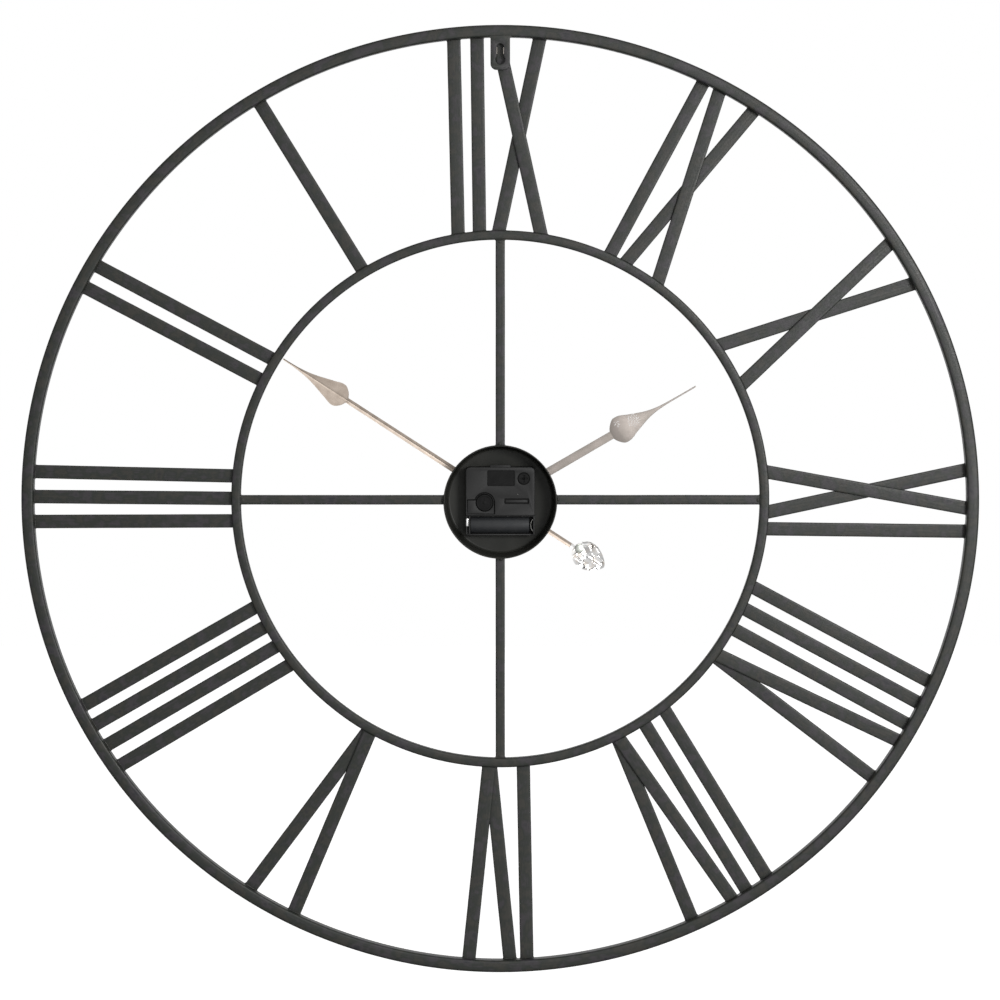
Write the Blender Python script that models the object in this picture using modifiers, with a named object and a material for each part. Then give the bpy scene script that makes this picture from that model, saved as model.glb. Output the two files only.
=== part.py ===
"""Large openwork metal wall clock with Roman numerals and a quartz movement.

World frame: metres, +Z up towards twelve o'clock, the dial faces -Y and the wall side is +Y.
The origin is the middle of the clock, on the hands' axis and half way through its depth.

Everything is modelled in the dial's own frame and then stood up by one parent empty:
x to the right and y up as the dial is read, z forward from the wall plane.
"""

import math

import bmesh
import bpy

# ---------------------------------------------------------------- driving dimensions
MM = 0.001
GAP = 0.35 * MM                       # clearance between pieces that touch

TOTAL_DEPTH = 38.5 * MM               # wall plane to the front of the hand nut

RING_RADIUS = 390 * MM                # outer edge of the outer ring
RING_WIDTH = 9.9 * MM
RING_DEPTH = 12.5 * MM
RING_SEGMENTS = 120

INNER_RING_RADIUS = 220.4 * MM        # outer edge of the inner ring
INNER_RING_WIDTH = 7.8 * MM
INNER_RING_DEPTH = 8 * MM

SPOKE_WIDTH = 7.6 * MM
SPOKE_BEVEL = 0.8 * MM
SPOKE_NAMES = ("top", "right", "bottom", "left")

STRIP_WIDTH = 11.1 * MM               # flat bar that the numerals are made of
STRIP_THICKNESS = 3 * MM
STRIP_OVERLAP = 0.2 * MM              # depth that two crossed strokes share at their weld
STRIP_BEVEL = 0.35 * MM

HANGER_WIDTH = 15.9 * MM
HANGER_BOTTOM = 351.7 * MM            # height of its lower edge above the hands' axis
HANGER_CORNER = 5 * MM
HANGER_THICKNESS = 2 * MM
KEYHOLE_CENTRE = 360.2 * MM           # round hole, where the screw head enters
KEYHOLE_RADIUS = 3.9 * MM
KEYSLOT_TOP = 370.2 * MM              # centre of the slot's rounded end
KEYSLOT_RADIUS = 2.85 * MM

CUP_RADIUS = 46.2 * MM
CUP_WALL = 1.2 * MM
CUP_RIM = 0.5 * MM                    # rim, forward of the wall plane
CUP_FLOOR = 26 * MM                   # inner face of the floor, forward of the wall plane
CUP_CORNER = 2.5 * MM

MOVEMENT_SIZE = 56.5 * MM
MOVEMENT_DEPTH = 16 * MM
MOVEMENT_FRONT = 24.6 * MM            # its front face, forward of the wall plane
MOVEMENT_CORNER = 3.5 * MM
CASE_WALL = 1.2 * MM
CASE_SPLIT = 9 * MM                   # depth at which the rear cover meets the front housing
BUSHING_RADIUS = 4 * MM
BUSHING_BORE = 2.9 * MM
BUSHING_LENGTH = 6 * MM

TUBE_RADIUS = 2.6 * MM                # hour tube
TUBE_BORE = 2.1 * MM
TUBE_FRONT = 33.5 * MM                # its front end, forward of the wall plane
ARBOR_RADIUS = 1.75 * MM              # minute arbor
ARBOR_FRONT = 36.9 * MM

BATTERY_RADIUS = 7.1 * MM             # size AA
BATTERY_Y = -19.5 * MM
BATTERY_DEPTH = 8.75 * MM
BAY_HALF = 26.9 * MM                  # open bay in the rear cover that the cell drops into
BAY_BOTTOM = -27.1 * MM
BAY_TOP = -11.9 * MM
SCREW_AXIS = (-19.2 * MM, 18.8 * MM)
COIL_CENTRE = (1.5 * MM, 22.9 * MM)
STATOR_DEPTH = 11.3 * MM

HOUR_ANGLE = -60                    # degrees clockwise from twelve
MINUTE_ANGLE = 57.2
HOUR_LENGTH = 186.5 * MM
MINUTE_LENGTH = 213.5 * MM
HOUR_Z = 32 * MM                      # rear face of the hour hand
MINUTE_Z = 34.6 * MM                  # rear edges of the minute hand
FOLD_SLOPE = 0.2                      # fold of the minute hand, as height over half width
FOLD_HEIGHT = 1 * MM                  # most that its ridge stands forward of its edges
LEAF_Z = 33.9 * MM                    # rear edges of the counterweight leaf
LEAF_FOLD = 0.08

# Shape of each hand: half widths of the shaft at the hub and at the spade, radius of the spade and
# its distance from the axis, where the taper starts, its length and power, half width of the tip.
HOUR_SHAPE = (3.6 * MM, 3.25 * MM, 10.5 * MM, 116.5 * MM, 114.2 * MM, 22.7 * MM, 2.05, 0.6 * MM)
MINUTE_SHAPE = (2.6 * MM, 2.2 * MM, 9.2 * MM, 160 * MM, 158.9 * MM, 23.8 * MM, 1.9, 0.55 * MM)
SHOULDER = 8                          # how closely the spade's round keeps to its taper

# Centre line of each stroke, as sideways offsets in millimetres at the inner ring and at the
# outer ring, positive clockwise. The clock is set out by hand, so the numerals aren't regular.
# A bar is one straight stroke. A cross or a vee is two strokes, the second welded on behind.
NUMERALS = {
    1: {"bar": [(3.5, 8)]},
    2: {"bar": [(-6.5, -1), (13, 19)]},
    3: {"bar": [(-19.5, -23), (-1, -2.5), (17.5, 18)]},
    4: {"bar": [(-24, -24.5), (-6, -6), (12.5, 13.5), (31.5, 33.5)]},
    5: {"vee": [(1, -18), (3, 23)]},
    6: {"vee": [(-8, 8), (-9.5, -26)], "bar": [(19, 22)]},
    7: {"vee": [(-15, -36.5), (-13.5, 0.5)], "bar": [(10.5, 14.5), (30.5, 34.5)]},
    8: {"vee": [(-24, -45), (-21, -8.5)], "bar": [(3.5, 7), (22.5, 27), (41.5, 46.5)]},
    9: {"bar": [(-24, -26)], "cross": [(-10, 24), (22.5, -6.5)]},
    10: {"cross": [(19.5, -15.5), (-16.5, 22.5)]},
    11: {"cross": [(8, -20.5), (-22, 12.5)], "bar": [(22.5, 27)]},
    12: {"cross": [(1, -33), (-32.5, 3)], "bar": [(17, 19), (34.5, 38)]},
}

# Gear train. Positions are in the dial frame; depths are measured back from the front of the case.
KNOB_AXIS = (12.9 * MM, -1 * MM)
MOTION_MODULE = 0.5 * MM
CANNON_TEETH = 10
MINUTE_WHEEL_TEETH = 30
MINUTE_PINION_TEETH = 8
HOUR_WHEEL_TEETH = 32
KNOB_TEETH = 10
LEAVES = 6                            # teeth of every pinion in the going train
CENTRE_TEETH = 48
THIRD_TEETH = 45
SECOND_TEETH = 30
FIFTH_TEETH = 36
CENTRE_MODULE = 0.395 * MM
SECOND_MODULE = 0.6 * MM
ROTOR_MODULE = 0.3 * MM
THIRD_DIRECTION = 125                 # degrees, from the centre to the third arbor
FIFTH_DIRECTION = 40
ROTOR_DIRECTION = 75                  # degrees, from the fifth arbor to the rotor
ADDENDUM = 0.8
DEDENDUM = 1.15
TOOTH_ROOT = 0.5                      # tooth widths as parts of the pitch
TOOTH_TIP = 0.2
MAGNET_RADIUS = 2.6 * MM

BLACK_STEEL = ("black_steel", (0.045, 0.045, 0.043), 0.55, 0.6)
CUP_STEEL = ("black_enamel", (0.012, 0.012, 0.013), 0.35, 0.2)
NICKEL = ("champagne_nickel", (0.52, 0.48, 0.44), 0.3, 1.0)
FOIL = ("bright_nickel", (0.8, 0.8, 0.8), 0.15, 1.0)
BLACK_PLASTIC = ("black_plastic", (0.02, 0.02, 0.022), 0.4, 0.0)
BRASS = ("brass", (0.72, 0.53, 0.25), 0.3, 1.0)
STEEL = ("bright_steel", (0.75, 0.75, 0.74), 0.25, 1.0)
RUBBER = ("black_rubber", (0.02, 0.02, 0.02), 0.8, 0.0)
NYLON = ("white_nylon", (0.8, 0.8, 0.76), 0.5, 0.0)
COPPER = ("enamelled_copper", (0.6, 0.25, 0.1), 0.35, 0.8)
BOARD = ("circuit_board", (0.05, 0.2, 0.08), 0.5, 0.0)
SLEEVE = ("battery_sleeve", (0.015, 0.015, 0.017), 0.3, 0.0)
MAGNET = ("magnet", (0.12, 0.12, 0.12), 0.5, 0.8)


# ---------------------------------------------------------------- scene and object helpers
def clear_scene():
    for obj in list(bpy.data.objects):
        bpy.data.objects.remove(obj, do_unlink=True)


def new_collection(name):
    collection = bpy.data.collections.new(name)
    bpy.context.scene.collection.children.link(collection)
    return collection


def get_material(finish):
    name, colour, roughness, metallic = finish
    found = bpy.data.materials.get(name)
    if found:
        return found
    made = bpy.data.materials.new(name)
    made.use_nodes = True
    shader = made.node_tree.nodes["Principled BSDF"]
    shader.inputs["Base Color"].default_value = (*colour, 1)
    shader.inputs["Roughness"].default_value = roughness
    shader.inputs["Metallic"].default_value = metallic
    made.diffuse_color = (*colour, 1)
    return made


def add_object(name, mesh, finish):
    """Put a mesh in the dial frame, as a part of the clock."""
    obj = bpy.data.objects.new(name, mesh)
    obj.parent = DIAL
    PARTS.objects.link(obj)
    obj.data.materials.append(get_material(finish))
    return obj


def make_cutter(obj):
    """Move a piece that only shapes another one out of the clock's own collection."""
    PARTS.objects.unlink(obj)
    CUTTERS.objects.link(obj)
    obj.hide_render = True
    obj.display_type = "WIRE"


def combine(obj, other, operation):
    make_cutter(other)
    modifier = obj.modifiers.new(operation.lower(), "BOOLEAN")
    modifier.operation = operation
    modifier.solver = "EXACT"
    modifier.object = other


def cut(obj, other):
    combine(obj, other, "DIFFERENCE")


def join(obj, other):
    combine(obj, other, "UNION")


def bevel(obj, width, segments=1):
    modifier = obj.modifiers.new("arrises", "BEVEL")
    modifier.width = width
    modifier.segments = segments
    modifier.limit_method = "ANGLE"
    modifier.angle_limit = math.radians(40)


def shade_smooth(obj, angle=35):
    obj.data.shade_smooth()
    obj.data.set_sharp_from_angle(angle=math.radians(angle))


def back(depth):
    """Height in the dial frame of a place this far behind the movement's front face."""
    return MOVEMENT_FRONT - depth


# ---------------------------------------------------------------- shape helpers
def plate(name, outlines, low, high, finish):
    """A flat plate between two heights. Outlines after the first are holes."""
    curve = bpy.data.curves.new(name, "CURVE")
    curve.dimensions = "2D"
    curve.fill_mode = "BOTH"
    curve.extrude = (high - low) / 2
    for outline in outlines:
        spline = curve.splines.new("POLY")
        spline.points.add(len(outline) - 1)
        for point, (x, y) in zip(spline.points, outline):
            point.co = (x, y, 0, 1)
        spline.use_cyclic_u = True
    holder = bpy.data.objects.new(name, curve)
    PARTS.objects.link(holder)
    graph = bpy.context.evaluated_depsgraph_get()
    mesh = bpy.data.meshes.new_from_object(holder.evaluated_get(graph))
    bpy.data.objects.remove(holder, do_unlink=True)
    shape = bmesh.new()
    shape.from_mesh(mesh)
    bmesh.ops.remove_doubles(shape, verts=shape.verts, dist=1e-6)
    bmesh.ops.translate(shape, verts=shape.verts, vec=(0, 0, (low + high) / 2))
    bmesh.ops.recalc_face_normals(shape, faces=shape.faces)
    shape.to_mesh(mesh)
    shape.free()
    mesh.materials.clear()
    return add_object(name, mesh, finish)


def box(name, x, y, z, finish):
    """A box from its lowest and highest x, y and z."""
    shape = bmesh.new()
    bmesh.ops.create_cube(shape, size=1)
    size = (x[1] - x[0], y[1] - y[0], z[1] - z[0])
    centre = ((x[0] + x[1]) / 2, (y[0] + y[1]) / 2, (z[0] + z[1]) / 2)
    bmesh.ops.scale(shape, verts=shape.verts, vec=size)
    bmesh.ops.translate(shape, verts=shape.verts, vec=centre)
    mesh = bpy.data.meshes.new(name)
    shape.to_mesh(mesh)
    shape.free()
    return add_object(name, mesh, finish)


def cylinder(name, radius, low, high, finish, centre=(0, 0), segments=24):
    """A cylinder along z, with its origin on its own axis."""
    shape = bmesh.new()
    bmesh.ops.create_cone(
        shape, cap_ends=True, segments=segments, radius1=radius, radius2=radius, depth=high - low
    )
    bmesh.ops.translate(shape, verts=shape.verts, vec=(0, 0, (low + high) / 2))
    mesh = bpy.data.meshes.new(name)
    shape.to_mesh(mesh)
    shape.free()
    obj = add_object(name, mesh, finish)
    obj.location = (*centre, 0)
    shade_smooth(obj)
    return obj


def turned(name, profile, finish, segments=48, loop=True):
    """Turn a profile of (radius, height) points about z, down its outer side first."""
    mesh = bpy.data.meshes.new(name)
    edges = [(i, i + 1) for i in range(len(profile) - 1)]
    if loop:
        edges.append((len(profile) - 1, 0))
    mesh.from_pydata([(radius, 0, height) for radius, height in profile], edges, [])
    obj = add_object(name, mesh, finish)
    screw = obj.modifiers.new("turn", "SCREW")
    screw.axis = "Z"
    screw.angle = math.tau
    screw.steps = segments
    screw.render_steps = segments
    screw.use_merge_vertices = True
    screw.merge_threshold = 1e-6
    screw.use_smooth_shade = False
    return obj


def arc(centre, radius, start, end, steps):
    """Points on a circle, from one angle to another, in degrees."""
    points = []
    for i in range(steps + 1):
        angle = math.radians(start + (end - start) * i / steps)
        points.append((centre[0] + radius * math.cos(angle), centre[1] + radius * math.sin(angle)))
    return points


def circle(centre, radius, steps):
    return arc(centre, radius, 0, 360, steps)[:-1]


def rectangle(x, y):
    return [(x[0], y[0]), (x[1], y[0]), (x[1], y[1]), (x[0], y[1])]


def rounded_rectangle(x, y, radius, steps=4):
    points = []
    corners = ((x[0], y[0], 180), (x[1], y[0], 270), (x[1], y[1], 0), (x[0], y[1], 90))
    for corner_x, corner_y, start in corners:
        centre_x = corner_x + math.copysign(radius, (x[0] + x[1]) / 2 - corner_x)
        centre_y = corner_y + math.copysign(radius, (y[0] + y[1]) / 2 - corner_y)
        points += arc((centre_x, centre_y), radius, start, start + 90, steps)
    return points


def rod(name, profile, finish, centre, segments=24):
    """A turned piece whose axis runs along x. Profile heights are x positions."""
    obj = turned(name, profile, finish, segments, loop=False)
    obj.rotation_euler = (0, math.pi / 2, 0)
    obj.location = centre
    return obj


# ---------------------------------------------------------------- frame of the clock
def ring(name, outer, width, low, high):
    """A ring of rectangular section, turned about the hands' axis."""
    inner = outer - width
    section = [(inner, high), (outer, high), (outer, low), (inner, low)]
    turned(name, section, BLACK_STEEL, RING_SEGMENTS)


def build_rings():
    ring("outer_ring", RING_RADIUS, RING_WIDTH, 0, RING_DEPTH)
    low = RING_DEPTH - INNER_RING_DEPTH
    ring("inner_ring", INNER_RING_RADIUS, INNER_RING_WIDTH, low, RING_DEPTH)


def build_spokes():
    half = SPOKE_WIDTH / 2
    middle = RING_DEPTH - INNER_RING_DEPTH / 2
    start = CUP_RADIUS + GAP
    end = INNER_RING_RADIUS - INNER_RING_WIDTH - GAP
    for quarter, side in enumerate(SPOKE_NAMES):
        spoke = box(
            "spoke_" + side, (-half, half), (start, end), (middle - half, middle + half), BLACK_STEEL
        )
        spoke.rotation_euler.z = -math.radians(90 * quarter)
        bevel(spoke, SPOKE_BEVEL)


def build_cup():
    inner = CUP_RADIUS - CUP_WALL
    front = CUP_FLOOR + CUP_WALL
    hole = BUSHING_RADIUS + GAP
    outer_corner = CUP_CORNER + CUP_WALL
    outside = arc((CUP_RADIUS - outer_corner, front - outer_corner), outer_corner, 90, 0, 3)
    inside = arc((inner - CUP_CORNER, CUP_FLOOR - CUP_CORNER), CUP_CORNER, 0, 90, 3)
    section = [(hole, front)] + outside + [(CUP_RADIUS, CUP_RIM), (inner, CUP_RIM)]
    section += inside + [(hole, CUP_FLOOR)]
    turned("movement_cup", section, CUP_STEEL)


def keyhole_outline():
    """Round hole with a slot above it, as one closed outline."""
    meet = math.degrees(math.acos(KEYSLOT_RADIUS / KEYHOLE_RADIUS))
    hole = arc((0, KEYHOLE_CENTRE), KEYHOLE_RADIUS, 180 - meet, 360 + meet, 14)
    return hole + arc((0, KEYSLOT_TOP), KEYSLOT_RADIUS, 0, 180, 8)


def build_hanger():
    half = HANGER_WIDTH / 2
    top = RING_RADIUS - RING_WIDTH - GAP
    spread = math.degrees(math.asin(half / top))
    outline = arc((half - HANGER_CORNER, HANGER_BOTTOM + HANGER_CORNER), HANGER_CORNER, -90, 0, 5)
    outline += arc((0, 0), top, 90 - spread, 90 + spread, 4)
    outline += arc((HANGER_CORNER - half, HANGER_BOTTOM + HANGER_CORNER), HANGER_CORNER, 180, 270, 5)
    plate("hanger_plate", [outline, keyhole_outline()], 0, HANGER_THICKNESS, BLACK_STEEL)


# ---------------------------------------------------------------- numerals
def reach_circle(point, direction, radius):
    """Where a line from a point meets a circle about the origin, further along the line."""
    along = point[0] * direction[0] + point[1] * direction[1]
    off = point[0] ** 2 + point[1] ** 2 - radius**2
    step = -along + math.sqrt(along**2 - off)
    return (point[0] + direction[0] * step, point[1] + direction[1] * step)


def stroke_outline(offsets):
    """Four corners of a straight strip that butts on both rings, in the numeral's own frame."""
    inside = INNER_RING_RADIUS
    outside = RING_RADIUS - RING_WIDTH
    run = outside - inside
    slope = (offsets[1] - offsets[0]) * MM / run
    length = math.hypot(slope, 1)
    direction = (slope / length, 1 / length)
    sides = []
    for side in (-1, 1):
        start = (
            offsets[0] * MM - slope * inside + side * STRIP_WIDTH / 2 * direction[1],
            -side * STRIP_WIDTH / 2 * direction[0],
        )
        near = reach_circle(start, direction, inside + GAP)
        far = reach_circle(start, direction, outside - GAP)
        sides.append((near, far))
    (left_near, left_far), (right_near, right_far) = sides
    return [left_near, right_near, right_far, left_far]


def stroke(name, hour, offsets, layer):
    """One strip of a numeral. Layer 0 is at the front, layer 1 is welded on behind it."""
    high = RING_DEPTH - layer * (STRIP_THICKNESS - STRIP_OVERLAP)
    strip = plate(name, [stroke_outline(offsets)], high - STRIP_THICKNESS, high, BLACK_STEEL)
    strip.rotation_euler.z = -math.radians(30 * hour)
    bevel(strip, STRIP_BEVEL)
    return strip


def build_numerals():
    for hour, strokes in NUMERALS.items():
        label = f"numeral_{hour:02d}_"
        for count, offsets in enumerate(strokes.get("bar", []), start=1):
            stroke(f"{label}bar_{count}", hour, offsets, 0)
        for shape in ("vee", "cross"):
            if shape in strokes:
                front, rear = strokes[shape]
                welded = stroke(label + shape, hour, front, 0)
                join(welded, stroke(label + shape + "_rear", hour, rear, 1))


# ---------------------------------------------------------------- hands
def spade_width(distance, shape):
    """Half width of a hand: a straight shaft, a round spade, then a hollow taper to the tip."""
    root, neck, radius, middle, start, run, power, tip = shape
    shaft = root + (neck - root) * distance / middle
    swell = math.sqrt(max(radius**2 - (distance - middle) ** 2, 0))
    if distance <= start:
        return max(swell, shaft)
    taper = tip + (radius - tip) * math.exp(-(((distance - start) / run) ** power))
    return (swell**SHOULDER + taper**SHOULDER) ** (1 / SHOULDER)


def hand_stations(shape, start, tip):
    """Distances along a hand at which its width is set, closer together at the spade."""
    radius, middle = shape[2:4]
    round_part = [middle - radius * math.cos(math.pi * i / 10) for i in range(8)]
    taper_start = round_part[-1]
    taper = [taper_start + (tip - taper_start) * (i / 10) ** 1.3 for i in range(1, 11)]
    return [start] + round_part + taper


def build_hour_hand():
    hub_radius = 7.5 * MM
    hub_lip = 0.2 * MM
    front = HOUR_Z + 1 * MM
    stations = hand_stations(HOUR_SHAPE, 4 * MM, HOUR_LENGTH)
    rows = [(spade_width(distance, HOUR_SHAPE), distance) for distance in stations]
    outline = rows + [(-width, distance) for width, distance in reversed(rows)]
    hand = plate("hour_hand", [outline], HOUR_Z, front, NICKEL)
    join(hand, cylinder("hour_hub", hub_radius, HOUR_Z - hub_lip, front + hub_lip, NICKEL))
    cut(hand, cylinder("hour_hub_hole", TUBE_RADIUS + GAP, HOUR_Z - 3 * MM, front + 3 * MM, NICKEL))
    for piece in [hand] + [modifier.object for modifier in hand.modifiers]:
        piece.rotation_euler.z = -math.radians(HOUR_ANGLE)


def folded_sheet(name, rows, rear, slope, thickness, finish):
    """Sheet metal folded along its centre line, with its ridge to the front.

    Each row is (half width, distance along the sheet). Half is built, and mirrored."""
    vertices = []
    for width, distance in rows:
        vertices.append((0, distance, rear + min(slope * width, FOLD_HEIGHT)))
        vertices.append((width, distance, rear))
    faces = [(2 * i, 2 * i + 1, 2 * i + 3, 2 * i + 2) for i in range(len(rows) - 1)]
    mesh = bpy.data.meshes.new(name)
    mesh.from_pydata(vertices, [], faces)
    sheet = add_object(name, mesh, finish)
    mirror = sheet.modifiers.new("other_half", "MIRROR")
    mirror.use_axis = (True, False, False)
    mirror.use_clip = True
    mirror.merge_threshold = 1e-6
    solidify = sheet.modifiers.new("sheet", "SOLIDIFY")
    solidify.thickness = thickness
    solidify.offset = 1
    return sheet


def build_minute_hand():
    tail_width = 1.7 * MM
    tail_end = 71.5 * MM
    shaft_start = 8 * MM
    rows = [(tail_width, -tail_end), (tail_width, -shaft_start)]
    for distance in hand_stations(MINUTE_SHAPE, shaft_start, MINUTE_LENGTH):
        rows.append((spade_width(distance, MINUTE_SHAPE), distance))
    hand = folded_sheet("minute_hand", rows, MINUTE_Z, FOLD_SLOPE, 0.7 * MM, NICKEL)
    hub = cylinder("minute_hub", 6 * MM, MINUTE_Z - 0.2 * MM, MINUTE_Z + 1.4 * MM, NICKEL)
    hole = cylinder("minute_hub_hole", ARBOR_RADIUS + GAP, MINUTE_Z - 2 * MM, MINUTE_Z + 3 * MM, NICKEL)
    join(hand, hub)
    cut(hand, hole)
    for piece in (hand, hub, hole):
        piece.rotation_euler.z = -math.radians(MINUTE_ANGLE)


def build_counterweight():
    """Leaf on the tail of the minute hand, with a tongue that lies behind the tail."""
    tongue_start = 62 * MM
    tongue_width = 1.8 * MM
    base = 72.4 * MM
    tip = 102.4 * MM
    half_width = 11.6 * MM
    fullness = 0.8
    roundness = 0.65
    tip_width = 0.3 * MM
    rows = [(tongue_width, -tongue_start), (tongue_width, -base)]
    steps = 14
    for i in range(1, steps + 1):
        part = (1 - math.cos(math.pi * i / steps)) / 2
        swell = max(math.sin(math.pi * part**fullness), 0)
        width = max(half_width * swell**roundness, tip_width)
        rows.append((width, -(base + (tip - base) * part)))
    leaf = folded_sheet("counterweight_leaf", rows[::-1], LEAF_Z, LEAF_FOLD, 0.5 * MM, FOIL)
    leaf.rotation_euler.z = -math.radians(MINUTE_ANGLE)


def build_hand_nut():
    radius = 3.4 * MM
    low = 36.4 * MM
    bore = ARBOR_RADIUS + GAP
    bore_top = 37.3 * MM
    edge = 0.7 * MM
    profile = [(0, TOTAL_DEPTH), (radius - edge, TOTAL_DEPTH), (radius, TOTAL_DEPTH - edge)]
    profile += [(radius, low), (bore, low), (bore, bore_top), (0, bore_top)]
    turned("hand_nut", profile, NICKEL, 24, loop=False)


# ---------------------------------------------------------------- quartz movement: case
def build_front_housing():
    half = MOVEMENT_SIZE / 2
    inside = half - CASE_WALL
    shelf = (-11.4 * MM, -10.2 * MM)
    outline = rounded_rectangle((-half, half), (-half, half), MOVEMENT_CORNER)
    housing = plate("front_housing", [outline], back(CASE_SPLIT), back(0), BLACK_PLASTIC)
    low = back(CASE_SPLIT + 1 * MM)
    floor = back(CASE_WALL)
    train = rounded_rectangle((-inside, inside), (shelf[1], inside), 2 * MM, 2)
    battery = rounded_rectangle((-inside, inside), (-inside, shelf[0]), 2 * MM, 2)
    cut(housing, plate("train_cavity", [train], low, floor, BLACK_PLASTIC))
    cut(housing, plate("battery_cavity", [battery], low, floor, BLACK_PLASTIC))
    bushing_low = back(CASE_WALL / 2)
    bushing_high = back(-BUSHING_LENGTH)
    join(housing, cylinder("bushing", BUSHING_RADIUS, bushing_low, bushing_high, BLACK_PLASTIC))
    cut(housing, cylinder("bushing_bore", BUSHING_BORE, low, bushing_high + 1 * MM, BLACK_PLASTIC))


def arch_outline(radius, bottom):
    """Round-topped pocket about the time-set knob."""
    left = (KNOB_AXIS[0] - radius, bottom)
    right = (KNOB_AXIS[0] + radius, bottom)
    return [left, right] + arc(KNOB_AXIS, radius, 0, 180, 14)


def build_rear_cover():
    """Flat-backed cover with its battery bay, knob pocket, recesses and hanging tab."""
    half = MOVEMENT_SIZE / 2
    inside = half - CASE_WALL
    front = back(CASE_SPLIT + GAP)
    rear = back(MOVEMENT_DEPTH)
    beyond = rear - 1 * MM
    outline = rounded_rectangle((-half, half), (-half, half), MOVEMENT_CORNER)
    cover = plate("rear_cover", [outline], rear, front, BLACK_PLASTIC)

    shelf = -9.8 * MM
    train = rounded_rectangle((-inside, inside), (shelf, inside), 2 * MM, 2)
    inner_wall = back(MOVEMENT_DEPTH - CASE_WALL)
    cut(cover, plate("cover_cavity", [train], inner_wall, front + 1 * MM, BLACK_PLASTIC))
    bay = rectangle((-BAY_HALF, BAY_HALF), (BAY_BOTTOM, BAY_TOP))
    cut(cover, plate("battery_bay", [bay], beyond, front + 1 * MM, BLACK_PLASTIC))

    pocket_radius = 8.2 * MM
    pocket_bottom = -9.6 * MM
    pocket_floor = back(12 * MM)
    block = arch_outline(pocket_radius + CASE_WALL, pocket_bottom - 1 * MM)
    block_rear = rear + 0.6 * MM
    join(cover, plate("pocket_block", [block], block_rear, pocket_floor + CASE_WALL, BLACK_PLASTIC))
    pocket = arch_outline(pocket_radius, pocket_bottom)
    cut(cover, plate("knob_pocket", [pocket], beyond, pocket_floor, BLACK_PLASTIC))
    cut(cover, cylinder("knob_hole", 1.7 * MM, beyond, front, BLACK_PLASTIC, KNOB_AXIS))

    tab = rounded_rectangle((-8.5 * MM, 8.5 * MM), (27.5 * MM, 29.9 * MM), 0.8 * MM, 2)
    join(cover, plate("hanging_tab", [tab], rear + 1 * MM, rear + 5.5 * MM, BLACK_PLASTIC))

    shallow = rear + 0.5 * MM
    label = rounded_rectangle((-11.5 * MM, 10.5 * MM), (13 * MM, 25.3 * MM), 1 * MM, 2)
    cut(cover, plate("label_recess", [label], beyond, shallow, BLACK_PLASTIC))
    slot = rectangle((-23.3 * MM, -3.5 * MM), (-1.8 * MM, 2.3 * MM))
    cut(cover, plate("slot_recess", [slot], beyond, shallow, BLACK_PLASTIC))
    cut(cover, cylinder("screw_seat", 4.9 * MM, beyond, rear + 0.8 * MM, BLACK_PLASTIC, SCREW_AXIS))
    cut(cover, cylinder("screw_hole", 1.6 * MM, beyond, front, BLACK_PLASTIC, SCREW_AXIS))

    notch_depth = 0.6 * MM
    for side in (-1, 1):
        edge = sorted((side * (half - notch_depth), side * (half + 1 * MM)))
        notch = rectangle(edge, (5.6 * MM, 13 * MM))
        cut(cover, plate("clip_notch", [notch], beyond, front + 1 * MM, BLACK_PLASTIC))


def build_cover_screw():
    rear = back(MOVEMENT_DEPTH)
    head_low = rear - 0.2 * MM
    head_high = rear + 0.5 * MM
    screw = cylinder("cover_screw", 4.5 * MM, head_low, head_high, BLACK_PLASTIC, SCREW_AXIS)
    join(screw, cylinder("screw_shank", 1.2 * MM, rear, back(7 * MM), BLACK_PLASTIC, SCREW_AXIS, 12))
    reach = 3 * MM
    slot = 0.5 * MM
    for name, x, y in (("cross_slot_a", reach, slot), ("cross_slot_b", slot, reach)):
        arm = box(name, (-x, x), (-y, y), (rear - 1 * MM, rear + 0.1 * MM), BLACK_PLASTIC)
        arm.location = (*SCREW_AXIS, 0)
        cut(screw, arm)


def build_fixings():
    hole = BUSHING_RADIUS + GAP
    low = MOVEMENT_FRONT + 0.3 * MM
    high = CUP_FLOOR - 0.3 * MM
    turned("rubber_washer", [(9 * MM, high), (9 * MM, low), (hole, low), (hole, high)], RUBBER, 32)
    across_corners = 6.35 * MM
    nut_low = CUP_FLOOR + CUP_WALL + 0.3 * MM
    hexagon = circle((0, 0), across_corners, 6)
    nut = plate("hex_nut", [hexagon, circle((0, 0), hole, 24)], nut_low, nut_low + 2.5 * MM, BRASS)
    bevel(nut, 0.2 * MM)


# ---------------------------------------------------------------- quartz movement: battery
def build_battery():
    negative = -23.9 * MM
    shoulder = 24.3 * MM
    nub_end = 25.6 * MM
    nub = 2.75 * MM
    edge = 0.6 * MM
    profile = [(0, nub_end), (nub, nub_end), (nub, shoulder), (BATTERY_RADIUS - edge, shoulder)]
    profile += [(BATTERY_RADIUS, shoulder - edge), (BATTERY_RADIUS, negative + edge)]
    profile += [(BATTERY_RADIUS - edge, negative), (0, negative)]
    rod("aa_battery", profile, SLEEVE, (0, BATTERY_Y, back(BATTERY_DEPTH)), 32)


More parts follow.
